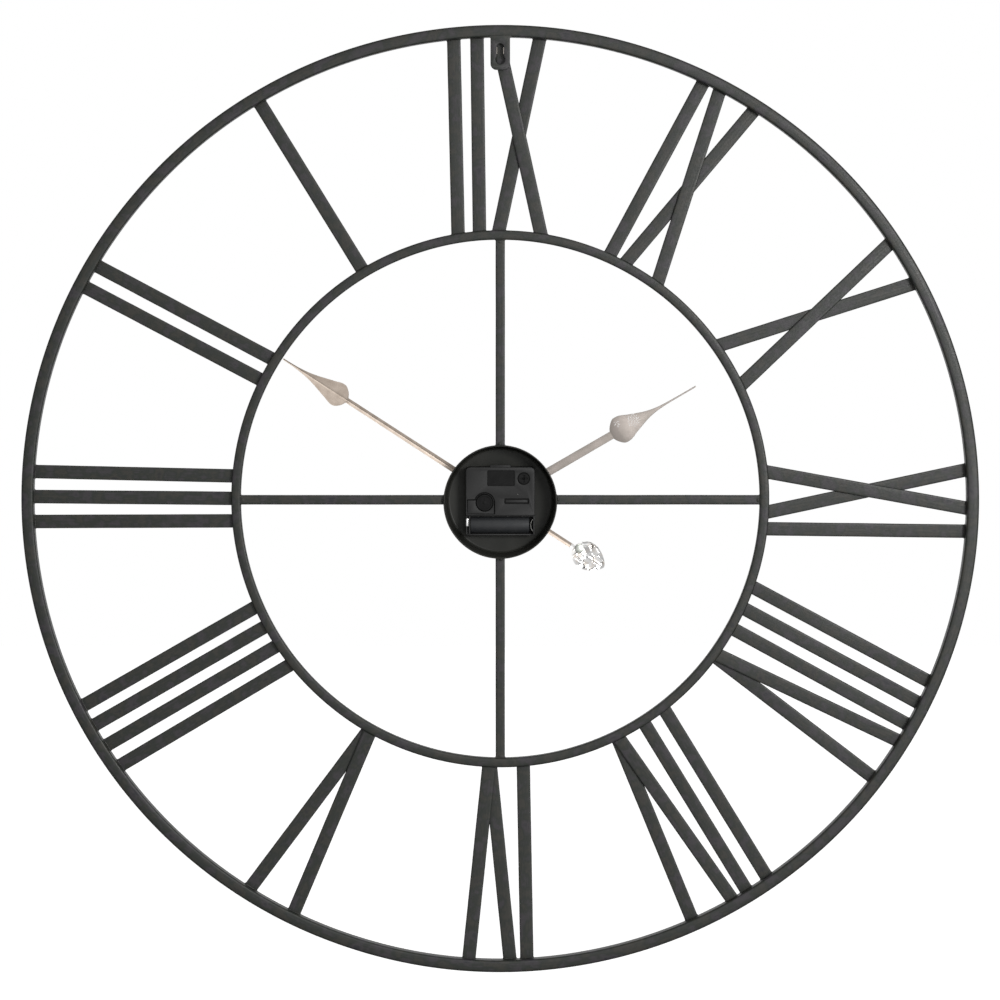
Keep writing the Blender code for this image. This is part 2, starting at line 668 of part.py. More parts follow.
def build_contacts():
    """Angled strip at the cell's nub, and a bowed leaf at its other end."""
    front = back(4 * MM)
    thick = 0.5 * MM
    rear = back(16.8 * MM)
    side = (-20.2 * MM, -14 * MM)
    contact = box("positive_contact", (26 * MM, 26 * MM + thick), side, (rear, front), STEEL)
    join(contact, box("contact_flange", (26.2 * MM, 28 * MM), side, (rear, rear + thick), STEEL))

    reach = 5 * MM
    bulge = 1.7 * MM
    leaf_thick = 0.4 * MM
    radius = (reach**2 + bulge**2) / (2 * bulge)
    half_angle = math.degrees(math.asin(reach / radius))
    centre = (-26.5 * MM + bulge - radius, BATTERY_Y)
    leaf = arc(centre, radius, -half_angle, half_angle, 8)
    leaf += arc(centre, radius - leaf_thick, half_angle, -half_angle, 8)
    plate("negative_contact", [leaf], back(15 * MM), front, STEEL)


# ---------------------------------------------------------------- quartz movement: motor
def build_circuit_board():
    rear = back(13.8 * MM)
    front = back(12.8 * MM)
    board = plate(
        "circuit_board", [rectangle((-26 * MM, -4 * MM), (-9.3 * MM, 9 * MM))], rear, front, BOARD
    )
    chip = (-11 * MM, 0)
    join(board, cylinder("chip_blob", 2.6 * MM, front - 0.2 * MM, front + 0.8 * MM, BOARD, chip, 16))
    can_radius = 1 * MM
    can = [(0, 3 * MM), (can_radius, 3 * MM), (can_radius, -3 * MM), (0, -3 * MM)]
    join(board, rod("crystal_can", can, STEEL, (-19 * MM, 4 * MM, front + 0.7 * MM), 12))


def build_coil():
    core = 1.3 * MM
    flange = 3.2 * MM
    winding = 2.7 * MM
    thick = 0.7 * MM
    end = 11.5 * MM
    profile = [(core, end), (flange, end), (flange, end - thick), (winding, end - thick)]
    profile += [(winding, thick - end), (flange, thick - end), (flange, -end), (core, -end)]
    coil = turned("coil", profile, COPPER, 20)
    coil.rotation_euler = (0, math.pi / 2, 0)
    coil.location = (*COIL_CENTRE, back(STATOR_DEPTH))


def build_stator():
    half = 0.4 * MM
    core = 0.7 * MM
    rear = back(STATOR_DEPTH) - half
    front = back(STATOR_DEPTH) + half
    outline = rectangle((-14 * MM, 17 * MM), (8.8 * MM, COIL_CENTRE[1] + core))
    window = rectangle((-11 * MM, 14 * MM), (17.4 * MM, COIL_CENTRE[1] - core))
    rotor_hole = circle(ROTOR_AXIS, MAGNET_RADIUS + 0.5 * MM, 24)
    plate("stator", [outline, window, rotor_hole], rear, front, STEEL)


# ---------------------------------------------------------------- quartz movement: wheels
def polar(origin, distance, degrees):
    angle = math.radians(degrees)
    return (origin[0] + distance * math.cos(angle), origin[1] + distance * math.sin(angle))


def centre_distance(module, teeth_a, teeth_b):
    return module * (teeth_a + teeth_b) / 2


def gear_outline(teeth, module, phase):
    """Trapezoid teeth on a pitch circle, the first one centred on the phase angle."""
    pitch = math.tau / teeth
    radius = module * teeth / 2
    root = radius - DEDENDUM * module
    tip = radius + ADDENDUM * module
    flank = ((root, -TOOTH_ROOT / 2), (tip, -TOOTH_TIP / 2))
    steps = (*flank, (tip, TOOTH_TIP / 2), (root, TOOTH_ROOT / 2))
    points = []
    for tooth in range(teeth):
        for reach, shift in steps:
            angle = phase + (tooth + shift) * pitch
            points.append((reach * math.cos(angle), reach * math.sin(angle)))
    return points


def meshing_phase(phase, teeth, direction, other_teeth):
    """Phase of a gear whose gap meets the tooth of this one, across the line of centres."""
    from_tooth = (direction - phase) / (math.tau / teeth)
    return direction + math.pi - (0.5 - from_tooth) * math.tau / other_teeth


def direction_between(start, end):
    return math.atan2(end[1] - start[1], end[0] - start[0])


def layer(near, far):
    """Low and high of a wheel, from its depths in the case in millimetres."""
    return back(far * MM), back(near * MM)


def gear(name, teeth, module, phase, heights, finish, axis, bore=0):
    """A gear with its origin on its own axis."""
    outlines = [gear_outline(teeth, module, phase)]
    if bore:
        outlines.append(circle((0, 0), bore, 20))
    wheel = plate(name, outlines, *heights, finish)
    wheel.location = (*axis, 0)
    return wheel


def pin(name, radius, heights, axis):
    return cylinder(name, radius, *heights, STEEL, axis, 12)


def build_motion_work():
    """Minute arbor, minute wheel, hour wheel and the knob that sets them."""
    to_minute = direction_between((0, 0), MINUTE_WHEEL_AXIS)
    to_knob = direction_between(MINUTE_WHEEL_AXIS, KNOB_AXIS)
    minute_phase = meshing_phase(to_minute, CANNON_TEETH, to_minute, MINUTE_WHEEL_TEETH)
    knob_phase = meshing_phase(minute_phase, MINUTE_WHEEL_TEETH, to_knob, KNOB_TEETH)
    hour_phase = meshing_phase(to_minute, HOUR_WHEEL_TEETH, to_minute, MINUTE_PINION_TEETH)

    arbor = cylinder("minute_arbor", ARBOR_RADIUS, back(4.6 * MM), ARBOR_FRONT, STEEL)
    join(arbor, cylinder("arbor_tail", 1 * MM, back(6.1 * MM), back(4 * MM), STEEL, segments=16))
    cannon_pinion = gear(
        "cannon_pinion", CANNON_TEETH, MOTION_MODULE, to_minute, layer(3.2, 4.2), STEEL, (0, 0)
    )
    join(arbor, cannon_pinion)

    module = MOTION_MODULE
    wheel = gear(
        "minute_wheel", MINUTE_WHEEL_TEETH, module, minute_phase, layer(3.3, 4.1), NYLON, MINUTE_WHEEL_AXIS
    )
    minute_pinion = gear(
        "minute_pinion", MINUTE_PINION_TEETH, module, hour_phase, layer(1.7, 3.5), NYLON, MINUTE_WHEEL_AXIS
    )
    join(wheel, minute_pinion)
    join(wheel, pin("minute_pivot", 0.5 * MM, layer(1.5, 4.6), MINUTE_WHEEL_AXIS))

    hour = gear("hour_wheel", HOUR_WHEEL_TEETH, module, to_minute, layer(1.7, 2.5), NYLON, (0, 0))
    join(hour, cylinder("hour_tube", TUBE_RADIUS, back(2.2 * MM), TUBE_FRONT, NYLON))
    cut(hour, cylinder("tube_bore", TUBE_BORE, back(3 * MM), TUBE_FRONT + 1 * MM, NYLON))

    knob_low = back(15.7 * MM)
    knob_high = back(12.6 * MM)
    knob = cylinder("time_set_knob", 6.6 * MM, knob_low, knob_high, BLACK_PLASTIC, KNOB_AXIS, 32)
    bevel(knob, 0.5 * MM)
    join(knob, pin("knob_shaft", 1.2 * MM, layer(3, 13), KNOB_AXIS))
    knob_pinion = gear(
        "knob_pinion", KNOB_TEETH, module, knob_phase, layer(3.3, 4.1), BLACK_PLASTIC, KNOB_AXIS
    )
    join(knob, knob_pinion)


def build_going_train():
    """Rotor to centre wheel, each wheel driven by the pinion before it."""
    third_module = 2 * centre_distance(CENTRE_MODULE, CENTRE_TEETH, LEAVES) / (THIRD_TEETH + LEAVES)
    to_third = direction_between((0, 0), THIRD_AXIS)
    to_fifth = direction_between((0, 0), FIFTH_AXIS)
    to_rotor = direction_between(FIFTH_AXIS, ROTOR_AXIS)

    third_pinion_phase = meshing_phase(to_third, CENTRE_TEETH, to_third, LEAVES)
    third_wheel_phase = meshing_phase(to_third, LEAVES, to_third, THIRD_TEETH)
    fifth_pinion_phase = meshing_phase(to_fifth, SECOND_TEETH, to_fifth, LEAVES)
    rotor_phase = meshing_phase(to_rotor, FIFTH_TEETH, to_rotor, LEAVES)

    gear("centre_wheel", CENTRE_TEETH, CENTRE_MODULE, to_third, layer(5, 5.7), BRASS, (0, 0), 1.35 * MM)

    third = gear(
        "third_wheel", THIRD_TEETH, third_module, third_wheel_phase, layer(6.6, 7.3), NYLON, THIRD_AXIS
    )
    third_pinion = gear(
        "third_pinion", LEAVES, CENTRE_MODULE, third_pinion_phase, layer(4.9, 6.7), NYLON, THIRD_AXIS
    )
    join(third, third_pinion)
    join(third, pin("third_arbor", 0.4 * MM, layer(4.5, 8), THIRD_AXIS))

    second = gear("second_wheel", SECOND_TEETH, SECOND_MODULE, to_fifth, layer(8.2, 8.9), NYLON, (0, 0))
    second_pinion = gear(
        "second_pinion", LEAVES, third_module, to_third, layer(6.5, 8.3), NYLON, (0, 0)
    )
    join(second, second_pinion)
    join(second, pin("second_arbor", 0.4 * MM, layer(6.4, 10.5), (0, 0)))

    fifth = gear(
        "fifth_wheel", FIFTH_TEETH, ROTOR_MODULE, to_rotor, layer(9.8, 10.4), NYLON, FIFTH_AXIS
    )
    fifth_pinion = gear(
        "fifth_pinion", LEAVES, SECOND_MODULE, fifth_pinion_phase, layer(8.1, 9.9), NYLON, FIFTH_AXIS
    )
    join(fifth, fifth_pinion)
    join(fifth, pin("fifth_arbor", 0.4 * MM, layer(7.7, 10.6), FIFTH_AXIS))

    rotor = cylinder("rotor", MAGNET_RADIUS, back(12.6 * MM), back(10.7 * MM), MAGNET, ROTOR_AXIS)
    rotor_pinion = gear(
        "rotor_pinion", LEAVES, ROTOR_MODULE, rotor_phase, layer(9.7, 10.8), STEEL, ROTOR_AXIS
    )
    join(rotor, rotor_pinion)
    join(rotor, pin("rotor_arbor", 0.3 * MM, layer(9.2, 13.2), ROTOR_AXIS))


# ---------------------------------------------------------------- places worked out from the above
def minute_wheel_axis():
    """Equally far from the hands' axis and from the knob, above the line between them."""
    distance = centre_distance(MOTION_MODULE, CANNON_TEETH, MINUTE_WHEEL_TEETH)
    half = math.hypot(*KNOB_AXIS) / 2
    lift = math.sqrt(distance**2 - half**2)
    towards = math.atan2(KNOB_AXIS[1], KNOB_AXIS[0])
    middle = (KNOB_AXIS[0] / 2, KNOB_AXIS[1] / 2)
    return polar(middle, lift, math.degrees(towards) + 90)


MINUTE_WHEEL_AXIS = minute_wheel_axis()
THIRD_AXIS = polar((0, 0), centre_distance(CENTRE_MODULE, CENTRE_TEETH, LEAVES), THIRD_DIRECTION)
FIFTH_AXIS = polar((0, 0), centre_distance(SECOND_MODULE, SECOND_TEETH, LEAVES), FIFTH_DIRECTION)
ROTOR_AXIS = polar(FIFTH_AXIS, centre_distance(ROTOR_MODULE, FIFTH_TEETH, LEAVES), ROTOR_DIRECTION)

clear_scene()
PARTS = new_collection("wall_clock")
CUTTERS = new_collection("wall_clock_cutters")
DIAL = bpy.data.objects.new("dial_frame", None)
DIAL.location = (0, TOTAL_DEPTH / 2, 0)
DIAL.rotation_euler = (math.pi / 2, 0, 0)
PARTS.objects.link(DIAL)

build_rings()
build_spokes()
build_cup()
build_hanger()
build_numerals()
build_hour_hand()
build_minute_hand()
build_counterweight()
build_hand_nut()
build_front_housing()
build_rear_cover()
build_cover_screw()
build_fixings()
build_battery()
build_contacts()
build_circuit_board()
build_coil()
build_stator()
build_motion_work()
build_going_train()
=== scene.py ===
"""Looks of a large openwork metal wall clock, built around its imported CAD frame.

Lengths are in metres. Pieces are shaped in the dial's own frame, as the CAD model is: x to the
right and y up as the dial is read, z forward from the wall plane. DIAL stands them up, so that
the dial faces -Y and the wall side +Y. A section goes round a part's cross-section, and a row is
one section placed in space.
"""
import math

import bmesh
import bpy
import numpy as np
from mathutils import Matrix, Vector, noise


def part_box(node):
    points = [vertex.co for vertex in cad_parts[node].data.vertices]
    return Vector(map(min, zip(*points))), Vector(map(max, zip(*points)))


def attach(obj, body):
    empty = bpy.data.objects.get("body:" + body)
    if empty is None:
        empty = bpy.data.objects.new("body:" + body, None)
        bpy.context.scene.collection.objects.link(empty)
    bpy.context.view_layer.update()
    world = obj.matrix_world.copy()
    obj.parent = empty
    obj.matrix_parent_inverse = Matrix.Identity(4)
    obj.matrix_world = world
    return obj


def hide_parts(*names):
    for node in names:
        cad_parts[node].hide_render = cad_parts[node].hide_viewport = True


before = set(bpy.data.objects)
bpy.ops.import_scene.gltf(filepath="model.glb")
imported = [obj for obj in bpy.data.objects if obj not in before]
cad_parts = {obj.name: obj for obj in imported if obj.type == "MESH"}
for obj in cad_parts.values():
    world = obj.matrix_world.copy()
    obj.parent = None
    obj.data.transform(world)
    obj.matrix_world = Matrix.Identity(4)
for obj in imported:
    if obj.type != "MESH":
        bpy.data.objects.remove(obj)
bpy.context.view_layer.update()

MM = 0.001
TAU = math.tau

# ---------------- places taken from the frame
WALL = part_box("outer_ring")[1].y          # world Y of the wall plane
DIAL = Matrix.Translation((0, WALL, 0)) @ Matrix.Rotation(math.pi / 2, 4, "X")


def dial_points(node):
    """Distinct corner points of a CAD node at rest, in the dial's frame."""
    inverse = DIAL.inverted()
    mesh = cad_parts[node].data
    return np.array(sorted({tuple(round(c, 6) for c in inverse @ v.co) for v in mesh.vertices}))


def reach_of(node):
    """Least and greatest distance of a CAD node from the hands' axis."""
    points = dial_points(node)
    reach = np.hypot(points[:, 0], points[:, 1])
    return float(reach.min()), float(reach.max())


def depth_of(node):
    """Rear and front of a CAD node, forward of the wall plane."""
    low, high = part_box(node)
    return WALL - high.y, WALL - low.y


def centre_of(node):
    """Middle of a CAD node, as x and y on the dial."""
    low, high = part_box(node)
    return (low.x + high.x) / 2, (low.z + high.z) / 2


RING_IN, RING_OUT = reach_of("outer_ring")
INNER_IN, INNER_OUT = reach_of("inner_ring")
RING_REAR, RING_FRONT = depth_of("outer_ring")
INNER_REAR = depth_of("inner_ring")[0]
CUP_OUT = reach_of("movement_cup")[1]
CUP_REAR, CUP_FRONT = depth_of("movement_cup")
CASE_REAR = depth_of("rear_cover")[0]
CASE_SPLIT = depth_of("rear_cover")[1]
CASE_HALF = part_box("rear_cover")[1].x
STRIP_WIDTH = 11.1 * MM
STRIP_THICKNESS = 3 * MM
CAD_BEVEL = 0.35 * MM                     # bevel on the CAD strips
WELD_DEPTH = 0.4 * MM                     # how far strips and spokes go into what they are welded to
OVAL = 0.0046                             # how far the outer hoop is out of round
RISE = 1.5 * MM                           # how far the inner hoop, spokes and strips are welded too high
SPOKES = ("top", "right", "bottom", "left")
NUMERALS = sorted(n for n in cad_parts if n.startswith("numeral_"))
FRAME = "clock_frame"                     # body that all the welded steelwork rides on
HUB_REACH = 20 * MM                       # beyond this distance a hand has no hub
SHAFT_START = 4 * MM                      # a hand's shaft starts here, inside its hub


def hand_angle(node):
    """Direction of a hand's tip, in radians clockwise from twelve."""
    points = dial_points(node)
    tip = points[np.argmax(np.hypot(points[:, 0], points[:, 1]))]
    return math.atan2(tip[0], tip[1])


def hoop_shift(x, y):
    """Radial shift of the outer hoop, seen from the strips' own centre, in a unit direction.

    It was bent a little wider than high, and its centre is lower than theirs."""
    return RING_OUT * OVAL * (x * x - y * y) - RISE * y


# ---------------- outlines and sections
def arc(centre, radius, start, end, steps):
    """Points on an arc, from one angle to another in degrees."""
    angles = [math.radians(start + (end - start) * i / steps) for i in range(steps + 1)]
    return [(centre[0] + radius * math.cos(a), centre[1] + radius * math.sin(a)) for a in angles]


def circle(centre, radius, steps=48):
    """Closed outline of a circle."""
    return arc(centre, radius, 0, 360 - 360 / steps, steps - 1)


def rectangle(x, y):
    """Closed outline between two values of x and two of y."""
    return [(x[0], y[0]), (x[1], y[0]), (x[1], y[1]), (x[0], y[1])]


def fillet(corners, radius, steps):
    """Closed outline with rounded corners; radius is one value, or one for each corner."""
    radii = radius if isinstance(radius, (list, tuple)) else [radius] * len(corners)
    outline = []
    for i, corner in enumerate(corners):
        here = Vector(corner)
        if radii[i] <= 0:
            outline.append(tuple(here))
            continue
        back = (Vector(corners[i - 1]) - here).normalized()
        ahead = (Vector(corners[(i + 1) % len(corners)]) - here).normalized()
        half = back.angle(ahead) / 2
        middle = here + (back + ahead).normalized() * (radii[i] / math.sin(half))
        first = here + back * (radii[i] / math.tan(half)) - middle
        turn = math.pi - 2 * half
        if back.x * ahead.y - back.y * ahead.x > 0:
            turn = -turn
        for step in range(steps + 1):
            angle = turn * step / steps
            outline.append(tuple(middle + Matrix.Rotation(angle, 2) @ first))
    return outline


def finer(outline, longest):
    """The same closed outline with its long edges split."""
    points = []
    for i, start in enumerate(outline):
        end = outline[(i + 1) % len(outline)]
        parts = max(1, math.ceil(math.dist(start, end) / longest))
        for k in range(parts):
            points.append(tuple(a + (b - a) * k / parts for a, b in zip(start, end)))
    return points


def crowned(outline, rise):
    """A section whose rear and front faces fall away a little towards its sides."""
    across = [p[0] for p in outline]
    depths = [p[1] for p in outline]
    middle = (min(across) + max(across)) / 2
    half = (max(across) - min(across)) / 2
    low, high = min(depths), max(depths)
    points = []
    for x, z in outline:
        inward = 1 - 2 * (z - low) / (high - low)
        points.append((x, z + rise * ((x - middle) / half) ** 2 * inward))
    return points


# ---------------- meshes
def skin(rows, looped=False, tube=True):
    """Mesh over rows of section points, with a UV map in metres: across, then along.

    Looped joins the last row to the first; otherwise both end rows are capped. A skin that
    isn't a tube is open along its sections, for shapes whose rows begin and end on an axis."""
    rows = np.asarray(rows, float)
    count, size = rows.shape[:2]
    spans = count if looped else count - 1
    strips = size if tube else size - 1
    closed = np.concatenate([rows, rows[:, :1]], axis=1)
    across = np.cumsum(np.linalg.norm(np.diff(closed.mean(0), axis=0), axis=1))
    across = np.concatenate([[0], across])
    if looped:
        across = np.concatenate([[0], np.cumsum(np.linalg.norm(np.diff(closed[0], axis=0), axis=1))])
    ringed = np.concatenate([rows, rows[:1]], axis=0)
    along = np.concatenate([[0], np.cumsum(np.linalg.norm(np.diff(ringed, axis=0), axis=2).mean(1))])
    faces = []
    places = []
    for i in range(spans):
        here = i * size
        there = (i + 1) % count * size
        for j in range(strips):
            k = (j + 1) % size
            faces.append((here + j, here + k, there + k, there + j))
            places += [(across[j], along[i]), (across[j + 1], along[i])]
            places += [(across[j + 1], along[i + 1]), (across[j], along[i + 1])]
    if not looped and tube:
        for i, order in ((0, range(size - 1, -1, -1)), (count - 1, range(size))):
            faces.append(tuple(i * size + j for j in order))
            places += [(across[j], along[i]) for j in order]
    mesh = bpy.data.meshes.new("skin")
    mesh.from_pydata(rows.reshape(-1, 3).tolist(), [], faces)
    layer = mesh.uv_layers.new(name="metres")
    layer.data.foreach_set("uv", np.array(places, np.float32).ravel())
    return mesh


def plate(outlines, low, high, edge=0.0, steps=2):
    """Flat sheet between two depths, with rounded edges; outlines after the first are holes."""
    curve = bpy.data.curves.new("outline", "CURVE")
    curve.dimensions = "2D"
    curve.fill_mode = "BOTH"
    curve.extrude = (high - low) / 2 - edge
    curve.bevel_depth = edge
    curve.bevel_resolution = steps
    curve.offset = -edge
    for outline in outlines:
        spline = curve.splines.new("POLY")
        spline.points.add(len(outline) - 1)
        for point, (x, y) in zip(spline.points, outline):
            point.co = (x, y, 0, 1)
        spline.use_cyclic_u = True
    holder = bpy.data.objects.new("outline", curve)
    bpy.context.scene.collection.objects.link(holder)
    evaluated = holder.evaluated_get(bpy.context.evaluated_depsgraph_get())
    mesh = bpy.data.meshes.new_from_object(evaluated)
    bpy.data.objects.remove(holder)
    bpy.data.curves.remove(curve)
    mesh.transform(Matrix.Translation((0, 0, (low + high) / 2)))
    mesh.materials.clear()
    return mesh


def turned(profile, stations, centre=(0, 0), solid=False):
    """Profile of (distance from the axis, depth) turned about an axis through the dial.

    A solid's profile begins and ends on the axis; other profiles are closed outlines."""
    rows = []
    for i in range(stations):
        sine, cosine = math.sin(TAU * i / stations), math.cos(TAU * i / stations)
        rows.append([(centre[0] + r * sine, centre[1] + r * cosine, z) for r, z in profile])
    return skin(rows, looped=True, tube=not solid)


def tube(path, radii, upright, sides):
    """Closed tube along a looped path; upright gives the direction that its sides start from."""
    path = np.asarray(path, float)
    rows = []
    for i, point in enumerate(path):
        ahead = path[(i + 1) % len(path)] - path[i - 1]
        ahead /= np.linalg.norm(ahead)
        up = np.asarray(upright(point), float)
        side = np.cross(ahead, up)
        side /= np.linalg.norm(side)
        up = np.cross(side, ahead)
        angles = [TAU * k / sides for k in range(sides)]
        rows.append([point + radii[i] * (math.cos(a) * up + math.sin(a) * side) for a in angles])
    return skin(rows, looped=True)


def blob(centre, radii, seed, lumps=0.12, steps=9):
    """Uneven rounded lump, such as a weld spot."""
    rows = []
    for i in range(steps + 1):
        polar = math.pi * (0.02 + 0.96 * i / steps)
        row = []
        for k in range(2 * steps):
            turn = math.pi * k / steps
            flat = math.sin(polar)
            unit = Vector((flat * math.cos(turn), flat * math.sin(turn), math.cos(polar)))
            size = 1 + lumps * noise.noise(unit * 2.3 + Vector((seed, 0, 0)))
            row.append([c + r * u * size for c, r, u in zip(centre, radii, unit)])
        rows.append(row)
    return skin(rows)


def turned_by(mesh, turn):
    """A mesh turned clockwise about the hands' axis."""
    mesh.transform(Matrix.Rotation(-turn, 4, "Z"))
    return mesh


def piece(name, meshes, material, body=FRAME, replaces=(), sharp=35, rise=0.0):
    """One shown object made of dial-frame meshes, riding on a CAD body; rise lifts it.

    Edges with a larger angle than sharp, in degrees, are shaded as edges."""
    gathered = bmesh.new()
    for mesh in meshes:
        gathered.from_mesh(mesh)
        bpy.data.meshes.remove(mesh)
    bmesh.ops.remove_doubles(gathered, verts=gathered.verts, dist=1e-8)
    bmesh.ops.recalc_face_normals(gathered, faces=gathered.faces)
    mesh = bpy.data.meshes.new(name)
    gathered.to_mesh(mesh)
    gathered.free()
    mesh.transform(Matrix.Translation((0, 0, rise)) @ DIAL)
    mesh.shade_smooth()
    mesh.set_sharp_from_angle(angle=math.radians(sharp))
    mesh.materials.append(material)
    obj = bpy.data.objects.new(name, mesh)
    bpy.context.scene.collection.objects.link(obj)
    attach(obj, body)
    if replaces:
        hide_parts(*replaces)


# ---------------- materials
def add(tree, kind, settings=None, **inputs):
    """One shader node; an input is a value, or another node's output."""
    node = tree.nodes.new("ShaderNode" + kind)
    for key, value in (settings or {}).items():
        setattr(node, key, value)
    for key, value in inputs.items():
        socket = node.inputs[key.replace("_", " ")]
        if isinstance(value, bpy.types.NodeSocket):
            tree.links.new(value, socket)
        else:
            socket.default_value = value
    return node


def cells(tree, where, size, detail, stretch=(1, 1, 1)):
    """Noise from 0 to 1 with features of about this size in metres."""
    scale = [1 / (size * s) for s in stretch]
    mapped = add(tree, "Mapping", Vector=where, Scale=scale).outputs["Vector"]
    return add(tree, "TexNoise", Vector=mapped, Scale=1.0, Detail=detail).outputs["Fac"]


def span(tree, value, source, target):
    """A value carried from one range to another, and held inside it."""
    low, high = source
    return add(
        tree, "MapRange", Value=value, From_Min=low, From_Max=high, To_Min=target[0], To_Max=target[1]
    ).outputs["Result"]


def blend_colours(tree, factor, colours):
    """Colour ramp through evenly spaced colours."""
    ramp = tree.nodes.new("ShaderNodeValToRGB")
    stops = ramp.color_ramp.elements
    while len(stops) < len(colours):
        stops.new(0.5)
    for i, colour in enumerate(colours):
        stops[i].position = i / (len(colours) - 1)
        stops[i].color = (*colour, 1)
    tree.links.new(factor, ramp.inputs["Fac"])
    return ramp.outputs["Color"]


def maths(tree, operation, first, second):
    """Result of a sum on two values, which may be other nodes' outputs."""
    node = add(tree, "Math", {"operation": operation})
    for socket, value in zip(node.inputs, (first, second)):
        if isinstance(value, bpy.types.NodeSocket):
            tree.links.new(value, socket)
        else:
            socket.default_value = value
    return node.outputs[0]


def mingled(tree, first, second, share):
    """Two noises added, with this share of the second."""
    rest = maths(tree, "MULTIPLY", first, 1 - share)
    return maths(tree, "ADD", rest, maths(tree, "MULTIPLY", second, share))


def surface(name, colours, gloss, patch, grain, relief, streak=None, **sockets):
    """Procedural material: colours in soft patches, with gloss and relief that follow a fine grain.

    gloss is the range of roughness. patch, grain and relief are the sizes of the patches and of
    the grain and its height. streak is (across, along) in metres, for drawn or brushed metal, and
    needs the UV map that skin() makes."""
    material = bpy.data.materials.new(name)
    material.use_nodes = True
    tree = material.node_tree
    shader = tree.nodes["Principled BSDF"]
    coordinates = add(tree, "TexCoord")
    where = coordinates.outputs["Object"]
    patches = cells(tree, where, patch, 3.0)
    fine = cells(tree, where, grain, 2.0)
    if streak:
        lines = cells(tree, coordinates.outputs["UV"], 1, 2.0, (streak[0], streak[1], 1))
        fine = mingled(tree, fine, lines, 0.5)
        patches = mingled(tree, patches, lines, 0.25)
    colour = blend_colours(tree, span(tree, patches, (0.3, 0.7), (0, 1)), colours)
    tree.links.new(colour, shader.inputs["Base Color"])
    roughness = span(tree, fine, (0.3, 0.7), gloss)
    tree.links.new(roughness, shader.inputs["Roughness"])
    bump = add(tree, "Bump", Height=fine, Strength=1.0, Distance=relief)
    tree.links.new(bump.outputs["Normal"], shader.inputs["Normal"])
    for key, value in sockets.items():
        shader.inputs[key.replace("_", " ")].default_value = value
    return material


def metal(name, colours, gloss, patch, grain, relief, streak=None):
    """Procedural material of bare or plated metal."""
    return surface(name, colours, gloss, patch, grain, relief, streak, Metallic=1.0)


PAINT = [
    (0.006, 0.007, 0.009), (0.026, 0.024, 0.018), (0.009, 0.013, 0.009), (0.03, 0.026, 0.03),
    (0.008, 0.009, 0.013),
]
STEEL = surface("painted_steel", PAINT, (0.36, 0.6), 0.011, 1.2 * MM, 0.05 * MM, (1.4 * MM, 60 * MM))
WELD = surface(
    "painted_weld", [(0.014, 0.015, 0.012), (0.024, 0.024, 0.02)],
    (0.4, 0.65), 0.006, 0.8 * MM, 0.08 * MM,
)
ENAMEL = surface(
    "black_enamel", [(0.022, 0.023, 0.020), (0.033, 0.033, 0.029)],
    (0.32, 0.46), 0.03, 1.5 * MM, 0.02 * MM, Specular_IOR_Level=0.2,
)
PLASTIC = surface(
    "moulded_plastic", [(0.011, 0.011, 0.011), (0.015, 0.015, 0.015)],
    (0.4, 0.56), 0.012, 0.5 * MM, 0.02 * MM, Specular_IOR_Level=0.33,
)
DARK_PLASTIC = surface(
    "spark_textured_plastic", [(0.005, 0.005, 0.005), (0.009, 0.009, 0.009)],
    (0.5, 0.7), 0.006, 0.4 * MM, 0.02 * MM, Specular_IOR_Level=0.15,
)
SLEEVE = surface(
    "printed_sleeve", [(0.024, 0.026, 0.029), (0.032, 0.033, 0.035)],
    (0.3, 0.42), 0.008, 2 * MM, 0.01 * MM,
)
NICKEL = metal(
    "champagne_nickel", [(0.30, 0.272, 0.246), (0.37, 0.33, 0.305)],
    (0.42, 0.54), 0.01, 0.6 * MM, 0.01 * MM,
)
DRAWN = metal(
    "drawn_nickel", [(0.39, 0.325, 0.27), (0.58, 0.495, 0.425)],
    (0.38, 0.5), 0.008, 0.5 * MM, 0.01 * MM, (0.7 * MM, 50 * MM),
)
# Pale beige for the keyhole slot's side walls: a painted highlight for the light that those walls catch.
SLOT_HIGHLIGHT = surface("painted_slot_highlight", [(0.42, 0.38, 0.33), (0.6, 0.56, 0.5)], (0.5, 0.7), 0.002, 0.4 * MM, 0.01 * MM)
FILM = surface("torn_film", [(0.7, 0.69, 0.68), (0.85, 0.84, 0.83)], (0.3, 0.5), 0.002, 0.3 * MM, 0.01 * MM)
FOIL = metal(
    "crinkled_nickel", [(0.86, 0.78, 0.70), (0.96, 0.95, 0.94), (0.97, 0.97, 0.96)],
    (0.12, 0.24), 0.005, 0.6 * MM, 0.01 * MM,
)
RIVET = metal(
    "tinned_rivet", [(0.78, 0.82, 0.75), (0.86, 0.88, 0.82)],
    (0.3, 0.42), 0.002, 0.4 * MM, 0.01 * MM,
)
DULL = metal(
    "dull_steel", [(0.16, 0.16, 0.15), (0.22, 0.22, 0.21)],
    (0.35, 0.5), 0.003, 0.4 * MM, 0.005 * MM,
)
BRIGHT = metal(
    "bright_steel", [(0.70, 0.70, 0.69), (0.80, 0.80, 0.79)],
    (0.2, 0.32), 0.004, 0.4 * MM, 0.005 * MM,
)
BRASS = metal(
    "turned_brass", [(0.66, 0.48, 0.22), (0.76, 0.57, 0.29)],
    (0.2, 0.34), 0.004, 0.4 * MM, 0.005 * MM,
)
RUBBER = surface(
    "black_rubber", [(0.016, 0.016, 0.016), (0.026, 0.025, 0.024)],
    (0.7, 0.88), 0.004, 0.5 * MM, 0.02 * MM,
)
NYLON = surface(
    "white_nylon", [(0.74, 0.73, 0.69), (0.82, 0.81, 0.78)],
    (0.4, 0.52), 0.006, 0.5 * MM, 0.01 * MM,
)
COPPER = surface(
    "enamelled_wire", [(0.42, 0.14, 0.05), (0.62, 0.25, 0.1)],
    (0.25, 0.4), 0.002, 0.15 * MM, 0.04 * MM, Metallic=0.8,
)
